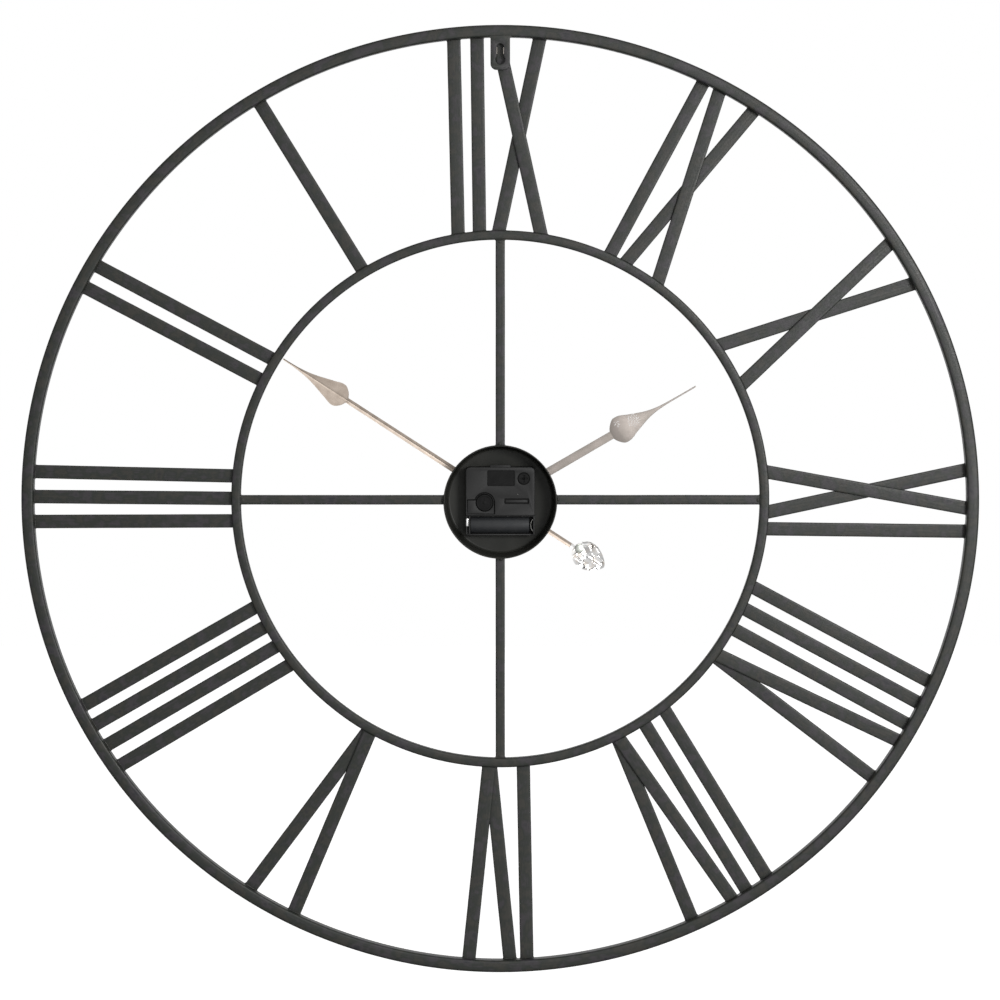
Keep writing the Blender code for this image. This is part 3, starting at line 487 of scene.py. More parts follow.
BOARD = surface(
    "circuit_board", [(0.03, 0.12, 0.05), (0.05, 0.19, 0.08)],
    (0.35, 0.5), 0.003, 0.4 * MM, 0.02 * MM,
)
MAGNET = surface(
    "magnet", [(0.09, 0.09, 0.09), (0.14, 0.14, 0.14)],
    (0.4, 0.55), 0.002, 0.3 * MM, 0.01 * MM, Metallic=0.8,
)


# ---------------- rings
def ring_mesh(outline, stations, sway, seed, shift=lambda x, y: 0):
    """Outline of (distance from the axis, depth) turned about the axis, very slightly out of true."""
    rows = []
    for i in range(stations):
        sine, cosine = math.sin(TAU * i / stations), math.cos(TAU * i / stations)
        out = shift(sine, cosine) + sway * noise.noise((4 * sine, 4 * cosine, seed))
        lift = sway * noise.noise((3 * sine, 3 * cosine, seed + 7))
        rows.append([((r + out) * sine, (r + out) * cosine, z + lift) for r, z in outline])
    return skin(rows, looped=True)


def build_rings():
    """Two hoops bent from bar, with rounded arrises."""
    outer = fillet(rectangle((RING_IN, RING_OUT), (RING_REAR, RING_FRONT)), 1.5 * MM, 5)
    outer = crowned(finer(outer, 1 * MM), 0.4 * MM)
    hoop = ring_mesh(outer, 480, 0.15 * MM, 1, hoop_shift)
    piece("outer_ring_bar", [hoop], STEEL, replaces=["outer_ring"], rise=RISE)
    inner = fillet(rectangle((INNER_IN, INNER_OUT), (INNER_REAR, RING_FRONT)), 1.1 * MM, 4)
    inner = crowned(finer(inner, 1 * MM), 0.3 * MM)
    hoop = ring_mesh(inner, 360, 0.12 * MM, 5)
    piece("inner_ring_bar", [hoop], STEEL, replaces=["inner_ring"], rise=RISE)


# ---------------- numerals
def stroke_lines(corners):
    """Middle line of a stroke: a point at its inner end and its direction, from a flat face's corners."""
    reach = np.hypot(corners[:, 0], corners[:, 1])
    order = np.argsort(reach)
    near, far = corners[order[:2], :2], corners[order[-2:], :2]
    rough = far.mean(0) - near.mean(0)
    sideways = np.array([rough[1], -rough[0]])
    near = near[np.argsort(near @ sideways)]
    far = far[np.argsort(far @ sideways)]
    direction = (far - near).sum(0)
    return near.mean(0), direction / np.linalg.norm(direction)


def strokes_of(node):
    """Every straight strip of a numeral: its middle line and the depth of its rear face."""
    points = dial_points(node)
    low, high = points[:, 2].min(), points[:, 2].max()
    tolerance = CAD_BEVEL / 4
    found = [(*stroke_lines(points[points[:, 2] > high - tolerance]), high - STRIP_THICKNESS)]
    if high - low > STRIP_THICKNESS + tolerance:
        found.append((*stroke_lines(points[points[:, 2] < low + tolerance]), low))
    return found


def on_circle(stroke, sideways, radius):
    """Where the line beside a stroke's middle line meets a circle about the hands' axis."""
    start, direction = stroke[:2]
    x = start[0] + direction[1] * sideways
    y = start[1] - direction[0] * sideways
    along = x * direction[0] + y * direction[1]
    step = -along + math.sqrt(along**2 - (x**2 + y**2 - radius**2))
    return np.array([x + direction[0] * step, y + direction[1] * step])


def on_hoop(stroke, sideways, radius):
    """Where the line beside a stroke's middle line meets the outer hoop."""
    place = on_circle(stroke, sideways, radius)
    return on_circle(stroke, sideways, radius + hoop_shift(*place / np.hypot(*place)))


def strip_mesh(stroke, seed):
    """Flat bar between the rings with soft arrises, cut and bent by hand."""
    half = STRIP_WIDTH / 2
    rear = stroke[2]
    outline = fillet(rectangle((-half, half), (0, STRIP_THICKNESS)), 0.7 * MM, 4)
    outline = crowned(finer(outline, 1.2 * MM), 0.15 * MM)
    ends = []
    for sideways, _ in outline:
        near = on_circle(stroke, sideways, INNER_OUT - WELD_DEPTH)
        ends.append((near, on_hoop(stroke, sideways, RING_IN + WELD_DEPTH)))
    stations = 28
    rows = []
    for i in range(stations + 1):
        part = i / stations
        edge = 0.07 * MM * noise.noise((part * 9, seed, 0))
        bow = 0.22 * MM * noise.noise((part * 2.5, seed, 5))
        twist = 0.03 * noise.noise((part * 2, seed, 9))
        row = []
        for (sideways, depth), (near, far) in zip(outline, ends):
            place = near + (far - near) * part
            place = place + np.array([stroke[1][1], -stroke[1][0]]) * edge
            row.append((place[0], place[1], rear + depth + bow + twist * sideways))
        rows.append(row)
    return skin(rows)


def outward(point):
    """Direction away from the hands' axis, for tubes that lie round it."""
    return (point[0], point[1], 0)


def end_weld(stroke, meet, radius, thickness, seed):
    """Weld run round the end of a strip where it meets a ring; meet finds the places on the ring."""
    half = STRIP_WIDTH / 2
    outline = finer(fillet(rectangle((-half, half), (0, STRIP_THICKNESS)), 0.6 * MM, 2), 0.9 * MM)
    path = []
    sizes = []
    for i, (sideways, depth) in enumerate(outline):
        x, y = meet(stroke, sideways, radius)
        path.append((x, y, stroke[2] + depth))
        sizes.append(thickness * (1 + 0.5 * noise.noise((i * 0.45, seed, 3))))
    return tube(path, sizes, outward, 8)


def build_numerals():
    """Numerals of flat strips, one piece for each CAD node, with their welds."""
    seed = 0
    for node in NUMERALS:
        strips = []
        welds = []
        for stroke in strokes_of(node):
            seed += 1
            strips.append(strip_mesh(stroke, seed * 3.7))
            welds.append(end_weld(stroke, on_circle, INNER_OUT, 0.4 * MM, seed * 1.9))
            welds.append(end_weld(stroke, on_hoop, RING_IN, 0.45 * MM, seed * 2.3))
        piece(node + "_strips", strips, STEEL, replaces=[node], rise=RISE)
        piece(node + "_welds", welds, WELD, rise=RISE)


# ---------------- spokes and hanger
def build_spokes():
    """Square bars from the cup to the inner ring, welded at both ends.

    The cup isn't raised with the steelwork, so the upper bar starts nearer to the axis."""
    for quarter, side in enumerate(SPOKES):
        node = "spoke_" + side
        low, high = depth_of(node)
        half = (high - low) / 2
        outline = finer(fillet(rectangle((-half, half), (low, high)), 1.0 * MM, 4), 2 * MM)
        turn = TAU * quarter / 4
        cup = CUP_OUT - RISE * math.cos(turn)
        start = cup - WELD_DEPTH
        end = INNER_IN + WELD_DEPTH
        stations = 24
        rows = []
        for i in range(stations + 1):
            part = i / stations
            sway = 0.12 * MM * noise.noise((part * 4, quarter * 5.1, 2))
            lift = 0.1 * MM * noise.noise((part * 3, quarter * 5.1, 8))
            rows.append([(x + sway, start + (end - start) * part, z + lift) for x, z in outline])
        piece(node + "_bar", [turned_by(skin(rows), turn)], STEEL, replaces=[node], rise=RISE)
        welds = []
        for radius, size in ((cup, 0.6 * MM), (INNER_IN, 0.5 * MM)):
            path = [(x, math.sqrt(radius**2 - x**2), z) for x, z in finer(outline, 0.9 * MM)]
            uneven = [1 + 0.5 * noise.noise((i * 0.4, quarter, radius * 90)) for i in range(len(path))]
            welds.append(tube(path, [size * factor for factor in uneven], outward, 8))
        ring_spot = (0.3 * MM, INNER_IN - 1.5 * MM, low + 0.5 * MM)
        cup_spot = (0.5 * MM, cup + 1.2 * MM, low + 0.4 * MM)
        welds.append(blob(ring_spot, (2.6 * MM, 1.8 * MM, 0.8 * MM), quarter * 3.3))
        welds.append(blob(cup_spot, (1.8 * MM, 1.4 * MM, 0.9 * MM), quarter * 4.1))
        piece(node + "_welds", [turned_by(weld, turn) for weld in welds], WELD, rise=RISE)


def build_hanger():
    """Hanging plate with its keyhole, a painted highlight on the slot's sides, and flared where it meets the
    ring.
    """
    low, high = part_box("hanger_plate")
    half = high.x
    bottom = low.z
    rear, front = depth_of("hanger_plate")
    hole = (0, bottom + 8.5 * MM)
    slot_end = (0, bottom + 18.5 * MM)
    flare = 1.2 * MM
    ring = RING_IN * (1 - OVAL)
    top = ring + 1.4 * MM
    shoulder = math.sqrt(ring**2 - half**2) - flare
    corner = 5 * MM
    outline = arc((half + flare, shoulder), flare, 180, 90, 6)
    outline += [(half + flare, top), (-half - flare, top)]
    outline += arc((-half - flare, shoulder), flare, 90, 0, 6)
    outline += arc((corner - half, bottom + corner), corner, 180, 270, 8)
    outline += arc((half - corner, bottom + corner), corner, 270, 360, 8)

    hole_radius = 3.9 * MM
    slot_radius = 2.85 * MM
    meet = math.degrees(math.acos(slot_radius / hole_radius))
    keyhole = arc(hole, hole_radius, 180 - meet, 360 + meet, 30) + arc(slot_end, slot_radius, 0, 180, 14)
    body = plate([outline, keyhole], rear + 0.02 * MM, front, 0.45 * MM, 3)
    piece("hanger_plate_sheet", [body], STEEL, replaces=["hanger_plate"])

    # Painted highlight: pale strips lining the slot's side walls stand in for the light that they catch.
    across = (slot_radius - 0.3 * MM, slot_radius + 0.1 * MM)
    along = (hole[1] + 4.4 * MM, slot_end[1] - 0.3 * MM)
    walls = []
    for side in (-1, 1):
        outline = [(side * x, y) for x, y in rectangle(across, along)][::side]
        walls.append(plate([outline], rear + 0.3 * MM, front - 0.3 * MM))
    piece("keyhole_painted_highlight_walls", walls, SLOT_HIGHLIGHT)


# ---------------- cup
def build_cup():
    """Spun steel cup with a little draft: flat face to the front, rolled rim at the rear."""
    wall = 1.2 * MM
    draft = 1.3 * MM
    bead = 0.35 * MM
    corner = 3.7 * MM
    floor = CUP_FRONT - wall
    hole = reach_of("movement_cup")[0]
    seam = 14 * MM
    profile = [(hole, floor), (hole, CUP_FRONT)]
    profile += arc((CUP_OUT - draft - corner, CUP_FRONT - corner), corner, 90, 5, 10)
    profile += [(CUP_OUT, seam)]
    profile += arc((CUP_OUT + bead - wall / 2, CUP_REAR + wall / 2), wall / 2, 0, -180, 8)
    profile += [(CUP_OUT - wall, seam)]
    profile += arc((CUP_OUT - draft - corner, CUP_FRONT - corner), corner - wall, 5, 90, 8)
    shell = ring_mesh(profile, 200, 0.08 * MM, 3)
    piece("movement_cup_shell", [shell], ENAMEL, replaces=["movement_cup"])


# ---------------- movement
def arch(centre, radius, bottom, right, top):
    """Pocket with a round top at its left, its bottom and right edges straight and a step at the right."""
    corner = math.degrees(math.asin((top - centre[1]) / radius))
    outline = [(centre[0] - radius, bottom), (right, bottom), (right, top)]
    return outline + arc(centre, radius, corner, 180, 20)


def build_rear_cover():
    """Moulded rear cover: flat panel with recesses, walls, knob pocket, battery tray and tab."""
    half = CASE_HALF
    rear = CASE_REAR
    knob = centre_of("time_set_knob")
    screw = centre_of("cover_screw")
    shapes = []
    dark = []

    # panel with its openings, and the tongue inside the narrow one
    panel_bottom = -11.5 * MM
    panel_corner = 3.5 * MM
    panel = rectangle((-half, half), (panel_bottom, half))
    panel = fillet(panel, [0.4 * MM, 0.4 * MM, panel_corner, panel_corner], 6)
    label = fillet(rectangle((-11.5 * MM, 10.5 * MM), (13 * MM, 25.3 * MM)), 0.8 * MM, 3)
    slot = fillet(rectangle((-23.3 * MM, -3.5 * MM), (-1.8 * MM, 2.3 * MM)), 0.6 * MM, 3)
    tongue = fillet(rectangle((-22.4 * MM, -4.4 * MM), (-0.8 * MM, 1.3 * MM)), 0.4 * MM, 3)
    pocket = 8.4 * MM
    foot = panel_bottom + 1.2 * MM
    step_top = knob[1] + 2.6 * MM
    opening = arch(knob, pocket, foot, half - 1.2 * MM, step_top)
    seat = circle(screw, 4.95 * MM)
    shapes.append(plate([panel, label, slot, opening, seat], rear, rear + 1.6 * MM, 0.5 * MM, 3))
    shapes.append(plate([tongue], rear + 0.35 * MM, rear + 1.6 * MM, 0.2 * MM))

    # shelf round the knob's well
    well = 7.2 * MM
    shelf = arch(knob, pocket - 0.55 * MM, foot + 0.1 * MM, half - 1.5 * MM, step_top - 0.55 * MM)
    shapes.append(plate([shelf, circle(knob, well, 64)], rear + 0.55 * MM, rear + 3 * MM, 0.35 * MM))

    # floors of the recesses
    for outline, depth in ((label, 0.8 * MM), (slot, 1.2 * MM)):
        low = [min(p[i] for p in outline) - 0.5 * MM for i in (0, 1)]
        high = [max(p[i] for p in outline) + 0.5 * MM for i in (0, 1)]
        floor = rectangle((low[0], high[0]), (low[1], high[1]))
        dark.append(plate([floor], rear + depth, rear + depth + 0.9 * MM))
    dark.append(plate([circle(screw, 5.6 * MM), circle(screw, 1.6 * MM, 24)], rear + 1.1 * MM, rear + 2 * MM))
    beyond = arch(knob, pocket + 0.6 * MM, foot - 0.5 * MM, half - 0.5 * MM, step_top + 0.6 * MM)
    dark.append(plate([beyond, circle(knob, well + 0.4 * MM, 64)], rear + 2 * MM, rear + 2.8 * MM))
    outside = circle(knob, 8.3 * MM, 64)
    dark.append(plate([outside, circle(knob, well + 0.05 * MM, 64)], rear + 2.5 * MM, rear + 5 * MM))
    dark.append(plate([outside, circle(knob, 1.7 * MM, 24)], rear + 4 * MM, rear + 5 * MM))

    # side walls, notched for the front housing's clips
    shrink = 0.06 * MM
    edge = half - shrink
    wall = 1.2 * MM
    wall_bottom = -10.9 * MM
    cavity = fillet(rectangle((wall - half, half - wall), (-10.4 * MM, half - wall)), 2 * MM, 3)
    notch_low, notch_high, notch_in = 5.6 * MM, 13 * MM, half - 1.1 * MM
    walls = [(notch_in, notch_low), (notch_in, notch_high), (edge, notch_high)]
    walls += arc((half - panel_corner, half - panel_corner), panel_corner - shrink, 0, 90, 6)
    walls += arc((panel_corner - half, half - panel_corner), panel_corner - shrink, 90, 180, 6)
    walls += [(-edge, notch_high), (-notch_in, notch_high), (-notch_in, notch_low)]
    walls += [(-edge, notch_low), (-edge, wall_bottom), (edge, wall_bottom), (edge, notch_low)]
    shapes.append(plate([walls, cavity], rear + 1.2 * MM, CASE_SPLIT, 0.1 * MM, 1))

    # battery tray: ceiling, end walls, keel, ribs and the guard over the nub
    bay_half = 26.9 * MM
    bay_top = -12.3 * MM
    ceiling = rectangle((-edge, edge), (bay_top, -10.5 * MM))
    shapes.append(plate([ceiling], rear + 1.2 * MM, CASE_SPLIT, 0.2 * MM))
    for side in (-1, 1):
        across = sorted((side * half, side * bay_half))
        end_wall = fillet(rectangle(across, (1 * MM - half, panel_bottom - 0.3 * MM)), 0.3 * MM, 2)
        shapes.append(plate([end_wall], rear + 0.5 * MM, CASE_SPLIT, 0.35 * MM, 3))
    keel = rectangle((-half, half), (-half, -26.72 * MM))
    keel = fillet(keel, [0.5 * MM, 0.5 * MM, 0.1 * MM, 0.1 * MM], 3)
    shapes.append(plate([keel], rear + 5 * MM, CASE_SPLIT, 0.3 * MM, 2))
    for x in (-18 * MM, -6 * MM, 6 * MM, 18 * MM):
        rib = fillet(rectangle((x - 0.4 * MM, x + 0.4 * MM), (-12.6 * MM, -11.9 * MM)), 0.2 * MM, 2)
        shapes.append(plate([rib], rear + 0.9 * MM, rear + 5 * MM, 0.1 * MM, 1))
    guard = fillet(rectangle((24.55 * MM, 25.95 * MM), (-26.6 * MM, bay_top + 0.3 * MM)), 0.3 * MM, 2)
    shapes.append(plate([guard], rear + 0.9 * MM, rear + 2.2 * MM, 0.3 * MM))

    # tab at the top, and the clips in the notches
    tab = rectangle((-8.5 * MM, 8.5 * MM), (27.3 * MM, 29.9 * MM))
    tab = fillet(tab, [0.2 * MM, 0.2 * MM, 0.9 * MM, 0.9 * MM], 4)
    shapes.append(plate([tab], rear + 2.2 * MM, rear + 5.5 * MM, 0.4 * MM, 3))
    for side in (-1, 1):
        across = sorted((side * 27.3 * MM, side * 27.9 * MM))
        clip = fillet(rectangle(across, (6.6 * MM, 12 * MM)), 0.25 * MM, 2)
        dark.append(plate([clip], rear + 3.5 * MM, CASE_SPLIT - 0.2 * MM, 0.2 * MM))

    piece("rear_cover_moulding", shapes, PLASTIC, replaces=["rear_cover"], sharp=40)
    piece("rear_cover_recesses", dark, DARK_PLASTIC, sharp=40)
    # Painted highlight: the cover's small nib is shown in dull steel, brighter than the plastic round it, for
    # the light it catches.
    nib = blob((-14.2 * MM, 5.9 * MM, rear), (0.5 * MM, 0.5 * MM, 0.3 * MM), 2.0, 0.05)
    piece("rear_cover_nib_painted_highlight", [nib], DULL)


def fluted(centre, radius, depth, flutes):
    """Closed outline of a round grip with shallow flutes of this depth to each side of its radius."""
    steps = flutes * 6
    rim = []
    for i in range(steps):
        angle = TAU * i / steps
        reach = radius + depth * math.cos(flutes * angle)
        rim.append((centre[0] + reach * math.cos(angle), centre[1] + reach * math.sin(angle)))
    return rim


def build_knob():
    """Grip ring, boss and pointer mark that finish the time-set knob."""
    knob = centre_of("time_set_knob")
    rear = depth_of("time_set_knob")[0]
    rim = fluted(knob, 6.72 * MM, 0.16 * MM, 24)
    grip = plate([rim, circle(knob, 5.2 * MM)], rear - 0.35 * MM, rear + 3 * MM, 0.3 * MM)
    boss = [(0, rear - 0.25 * MM), (1.2 * MM, rear - 0.2 * MM), (1.6 * MM, rear)]
    boss += [(1.6 * MM, rear + 0.5 * MM), (0, rear + 0.5 * MM)]
    boss = turned(boss, 32, knob, True)
    across = (knob[0] - 0.35 * MM, knob[0] + 0.35 * MM)
    mark = fillet(rectangle(across, (knob[1] + 1.9 * MM, knob[1] + 4.6 * MM)), 0.3 * MM, 3)
    mark = plate([mark], rear - 0.2 * MM, rear + 0.4 * MM, 0.1 * MM)
    piece("time_set_knob_grip", [grip, boss, mark], DARK_PLASTIC, "time_set_knob")


def build_cover_screw():
    """Plug with a cross recess that holds the cover."""
    centre = centre_of("cover_screw")
    rear, front = depth_of("cover_screw")
    arm = 3 * MM
    half = 0.55 * MM
    cross = [(half, half), (half, arm), (-half, arm), (-half, half), (-arm, half), (-arm, -half)]
    cross += [(-half, -half), (-half, -arm), (half, -arm), (half, -half), (arm, -half), (arm, half)]
    cross = [(centre[0] + x, centre[1] + y) for x, y in fillet(cross, 0.2 * MM, 2)]
    head = plate([circle(centre, 4.5 * MM), cross], rear + 0.1 * MM, rear + 1 * MM, 0.3 * MM, 3)
    floor = plate([circle(centre, 4 * MM)], rear + 0.8 * MM, rear + 1.2 * MM)
    shank = [(0, rear + 0.8 * MM), (1.2 * MM, rear + 0.8 * MM), (1.2 * MM, front - 0.5 * MM)]
    shank += [(0.7 * MM, front), (0, front)]
    meshes = [head, floor, turned(shank, 24, centre, True)]
    piece("cover_screw_plug", meshes, DARK_PLASTIC, replaces=["cover_screw"])


def build_battery():
    """Size AA cell: sleeve shrunk over its ends, steel caps and nub.

    Its profiles are (distance from the cell's axis, distance along it)."""
    low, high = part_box("aa_battery")
    left, right = low.x, high.x
    y = (low.z + high.z) / 2
    rear, front = depth_of("aa_battery")
    radius = (front - rear) / 2
    shoulder = right - 1.3 * MM
    lip = radius - 1.8 * MM
    sleeve = [(radius - 1.6 * MM, left + 0.3 * MM), (radius - 0.9 * MM, left)]
    sleeve += [(radius - 0.35 * MM, left + 0.1 * MM), (radius, left + 0.55 * MM)]
    sleeve += [(radius, shoulder - 0.6 * MM), (radius - 0.3 * MM, shoulder - 0.1 * MM)]
    sleeve += [(radius - 0.9 * MM, shoulder), (lip, shoulder - 0.25 * MM), (lip, left + 0.8 * MM)]
    plug = radius - 1.7 * MM
    cap = [(0, right), (2.3 * MM, right), (2.65 * MM, right - 0.3 * MM), (2.75 * MM, shoulder + 0.1 * MM)]
    cap += [(plug, shoulder - 0.15 * MM), (plug, shoulder - 0.5 * MM), (0, shoulder - 0.5 * MM)]
    base = [(0, left + 0.1 * MM), (radius - 1.9 * MM, left + 0.1 * MM), (radius - 1.4 * MM, left + 0.4 * MM)]
    base += [(radius - 1.4 * MM, left + 0.8 * MM), (0, left + 0.8 * MM)]
    lie = Matrix.Translation((0, y, (rear + front) / 2)) @ Matrix.Rotation(math.pi / 2, 4, "Y")

    def laid(profile, solid):
        mesh = turned(profile, 72, solid=solid)
        mesh.transform(lie)
        return mesh

    piece("aa_battery_sleeve", [laid(sleeve, False)], SLEEVE, "battery", ["aa_battery"])
    piece("aa_battery_terminals", [laid(cap, True), laid(base, True)], DULL, "battery")


def build_contacts():
    """Sprung strip at the positive end of the battery tray; the other contact is its CAD node."""
    low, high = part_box("positive_contact")
    rear, front = depth_of("positive_contact")
    thick = 0.5 * MM
    bend = 0.7 * MM
    strip = [(low.x, front), (low.x, rear), (high.x, rear), (high.x, rear + thick)]
    strip += [(low.x + thick, rear + thick), (low.x + thick, front)]
    strip = fillet(strip, [0.1 * MM, bend, 0.2 * MM, 0.2 * MM, bend - thick * 0.6, 0.1 * MM], 4)
    mesh = plate([strip], 0, high.z - low.z, 0.12 * MM)
    mesh.transform(Matrix.Translation((0, high.z, 0)) @ Matrix.Rotation(math.pi / 2, 4, "X"))
    piece("positive_contact_strip", [mesh], BRIGHT, replaces=["positive_contact"])


# ---------------- hands
# Each shape: half widths of the shaft at the hub and at the spade, radius of the spade and its
# distance from the axis, where the taper starts, its length and power, half width of the tip.
HOUR_SHAPE = (3.6 * MM, 3.25 * MM, 10.5 * MM, 116.5 * MM, 114.2 * MM, 22.7 * MM, 2.05, 0.6 * MM)
MINUTE_SHAPE = (2.6 * MM, 2.2 * MM, 9.2 * MM, 160 * MM, 158.9 * MM, 23.8 * MM, 1.9, 0.55 * MM)
SHOULDER = 8                              # how closely the spade's round keeps to its taper
BACK_RUN = 7 * MM                         # length over which the spade's back gives way to the shaft
TUBE_OUT = 2.6 * MM                       # hour tube
ARBOR_OUT = 1.75 * MM                     # minute arbor


def spade_width(distance, shape):
    """Half width of a hand: a straight shaft, a round spade, then a hollow taper to the tip."""
    root, neck, radius, middle, start, run, power, tip = shape
    shaft = root + (neck - root) * distance / middle
    swell = math.sqrt(max(radius**2 - (distance - middle) ** 2, 0))
    if distance > start:
        taper = tip + (radius - tip) * math.exp(-(((distance - start) / run) ** power))
        return (swell**SHOULDER + taper**SHOULDER) ** (1 / SHOULDER)
    taper = radius * math.exp(-(((start - distance) / BACK_RUN) ** 2))
    return max((swell**SHOULDER + taper**SHOULDER) ** (1 / SHOULDER) if swell else 0, shaft)


def hub_mesh(bore, radius, low, high):
    """Round hub with softened edges."""
    outline = fillet(rectangle((bore, radius), (low, high)), 0.25 * MM, 3)
    return turned(outline, 56)


def build_hour_hand():
    """Flat hand stamped from sheet."""
    turn = hand_angle("hour_hand")
    length = reach_of("hour_hand")[1]
    points = dial_points("hour_hand")
    outside = points[np.hypot(points[:, 0], points[:, 1]) > HUB_REACH]
    low, high = outside[:, 2].min(), outside[:, 2].max()
    side = [(spade_width(d, HOUR_SHAPE), d) for d in hand_stations(HOUR_SHAPE, length)]
    outline = side + [(-width, distance) for width, distance in reversed(side)]
    blade = plate([outline], low, high, 0.2 * MM)
    bore = TUBE_OUT + 0.2 * MM
    hub = hub_mesh(bore, 7.5 * MM, low - 0.2 * MM, high + 0.2 * MM)
    meshes = [turned_by(blade, turn), hub]
    piece("hour_hand_blade", meshes, NICKEL, "hour_hand", ["hour_hand"], 20)

    # two groups of film scraps: middle, number and spread
    groups = ((6 * MM, 115 * MM, 6, 2.6 * MM), (1.5 * MM, 128 * MM, 30, 5.2 * MM))
    scraps = []
    for x, y, count, spread in groups:
        for i in range(count):
            place = Matrix.Rotation(i * 2.4, 2) @ Vector((spread * math.sqrt((i + 0.5) / count), 0))
            size = (0.45 + 0.7 * abs(noise.noise((i * 1.7, count, 3)))) * MM
            scrap = blob((0, 0, 0), (size * 0.5, size * 1.6, 0.03 * MM), i, 0.3, 4)
            lie = Matrix.Rotation(i * 1.3, 4, "Z")
            scrap.transform(Matrix.Translation((x + place.x, y + place.y, low)) @ lie)
            scraps.append(turned_by(scrap, turn))
    piece("hour_hand_film_scraps", scraps, FILM, "hour_hand")


def hand_stations(shape, length):
    """Distances along a hand: even on the shaft, closer together round the spade."""
    radius, middle = shape[2:4]
    shaft = [SHAFT_START + (middle - radius - SHAFT_START) * i / 40 for i in range(40)]
    spade = [middle - radius * math.cos(math.pi * i / 50) for i in range(38)]
    return shaft + spade + [spade[-1] + (length - spade[-1]) * i / 60 for i in range(1, 61)]


def sheet_rows(stations, rear_of, thickness, across):
    """Rows round a thin bent sheet; stations are (half width, distance) and rear_of its rear face.

    The points across are closer together at the middle, where the sheet is creased."""
    steps = [2 * k / across - 1 for k in range(across + 1)]
    rows = []
    for half, distance in stations:
        offsets = [half * math.copysign(abs(s) ** 1.5, s) for s in steps]
        rear = [(x, distance, rear_of(x, distance, half)) for x in offsets]
        front = [(x, y, z + thickness) for x, y, z in reversed(rear)]
        rows.append(rear + front)
    return rows


def build_minute_hand():
    """Hand folded along its middle, with its ridge to the front and a tail behind."""
    turn = hand_angle("minute_hand")
    length = reach_of("minute_hand")[1]
    points = dial_points("minute_hand")
    edge = points[np.hypot(points[:, 0], points[:, 1]) > HUB_REACH][:, 2].min()
    fold_slope = 0.12
    fold_height = 0.26 * MM
    soft = 0.12 * MM
    tail = 71.5 * MM
    tail_half = 2 * MM
    stations = [(tail_half, -tail + (tail - SHAFT_START) * i / 60) for i in range(61)]
    stations += [(spade_width(d, MINUTE_SHAPE), d) for d in hand_stations(MINUTE_SHAPE, length)]

    def rear_of(x, distance, half):
        slope = min(fold_slope, fold_height / half)
        crease = 0.08 * MM * math.exp(-((x / (0.4 * MM)) ** 2)) if distance > 0 else 0
        return edge + slope * (half - math.hypot(x, soft) + soft) + crease

    blade = skin(sheet_rows(stations, rear_of, 0.7 * MM, 20))
    hub = hub_mesh(ARBOR_OUT + 0.2 * MM, 6 * MM, edge - 0.2 * MM, edge + 1.4 * MM)
    meshes = [turned_by(blade, turn), hub]
    piece("minute_hand_blade", meshes, DRAWN, "minute_hand", ["minute_hand"])


def build_counterweight():
    """Crinkled leaf riveted to the minute hand's tail, with a short neck and a groove along it."""
    turn = hand_angle("minute_hand")
    tip = 102.4 * MM
    base = 72.4 * MM
    start = 69.5 * MM
    neck = 1.9 * MM
    widest = 11.6 * MM
    rear = depth_of("counterweight_leaf")[0]
    stations = [(neck, -start), (neck, -base)]
    count = 90
    for i in range(1, count + 1):
        part = (1 - math.cos(math.pi * i / count)) / 2
        swell = max(math.sin(math.pi * part**0.8), 0)
        width = max(widest * swell**0.65, 0.3 * MM)
        stations.append((width, -(base + (tip - base) * part)))

    def rear_of(x, distance, half):
        swell = min(max((-distance - base) / (4 * MM), 0), 1) * min(half / (4 * MM), 1)
        place = Vector((x, distance, 0)) * 190
        reach, centres = noise.voronoi(place)
        away = place - centres[0]
        cell = centres[0] * 5.3
        tilt = Vector((noise.noise(cell), noise.noise(cell + Vector((0, 0, 40))), 0))
        facet = tilt.dot(away) * min((reach[1] - reach[0]) / 0.08, 1)
        ripple = noise.noise(place * 0.5)
        spine = 0.3 * MM * math.exp(-((x / (0.9 * MM)) ** 2))
        lift = (2.2 * MM * facet + 0.6 * MM * ripple - spine) * swell
        return rear + 0.7 * MM * swell + 0.08 * (half - abs(x)) + lift

    leaf = skin(sheet_rows(stations, rear_of, 0.35 * MM, 70))
    rivet = [(0, rear - 0.9 * MM), (2.6 * MM, rear - 0.75 * MM), (3.5 * MM, rear - 0.3 * MM)]
    rivet += [(3.6 * MM, rear), (3.2 * MM, rear + 0.3 * MM), (1.2 * MM, rear + 0.4 * MM)]
    rivet += [(1.2 * MM, rear + 1.6 * MM), (0, rear + 1.6 * MM)]
    rivet = turned(rivet, 40, solid=True)
    rivet.transform(Matrix.Translation((-1.6 * MM, -77 * MM, 0)))
    leaf = turned_by(leaf, turn)
    replaced = ["counterweight_leaf"]
    piece("counterweight_leaf_sheet", [leaf], FOIL, "minute_hand", replaced, 50)
    piece("counterweight_rivet", [turned_by(rivet, turn)], RIVET, "minute_hand")


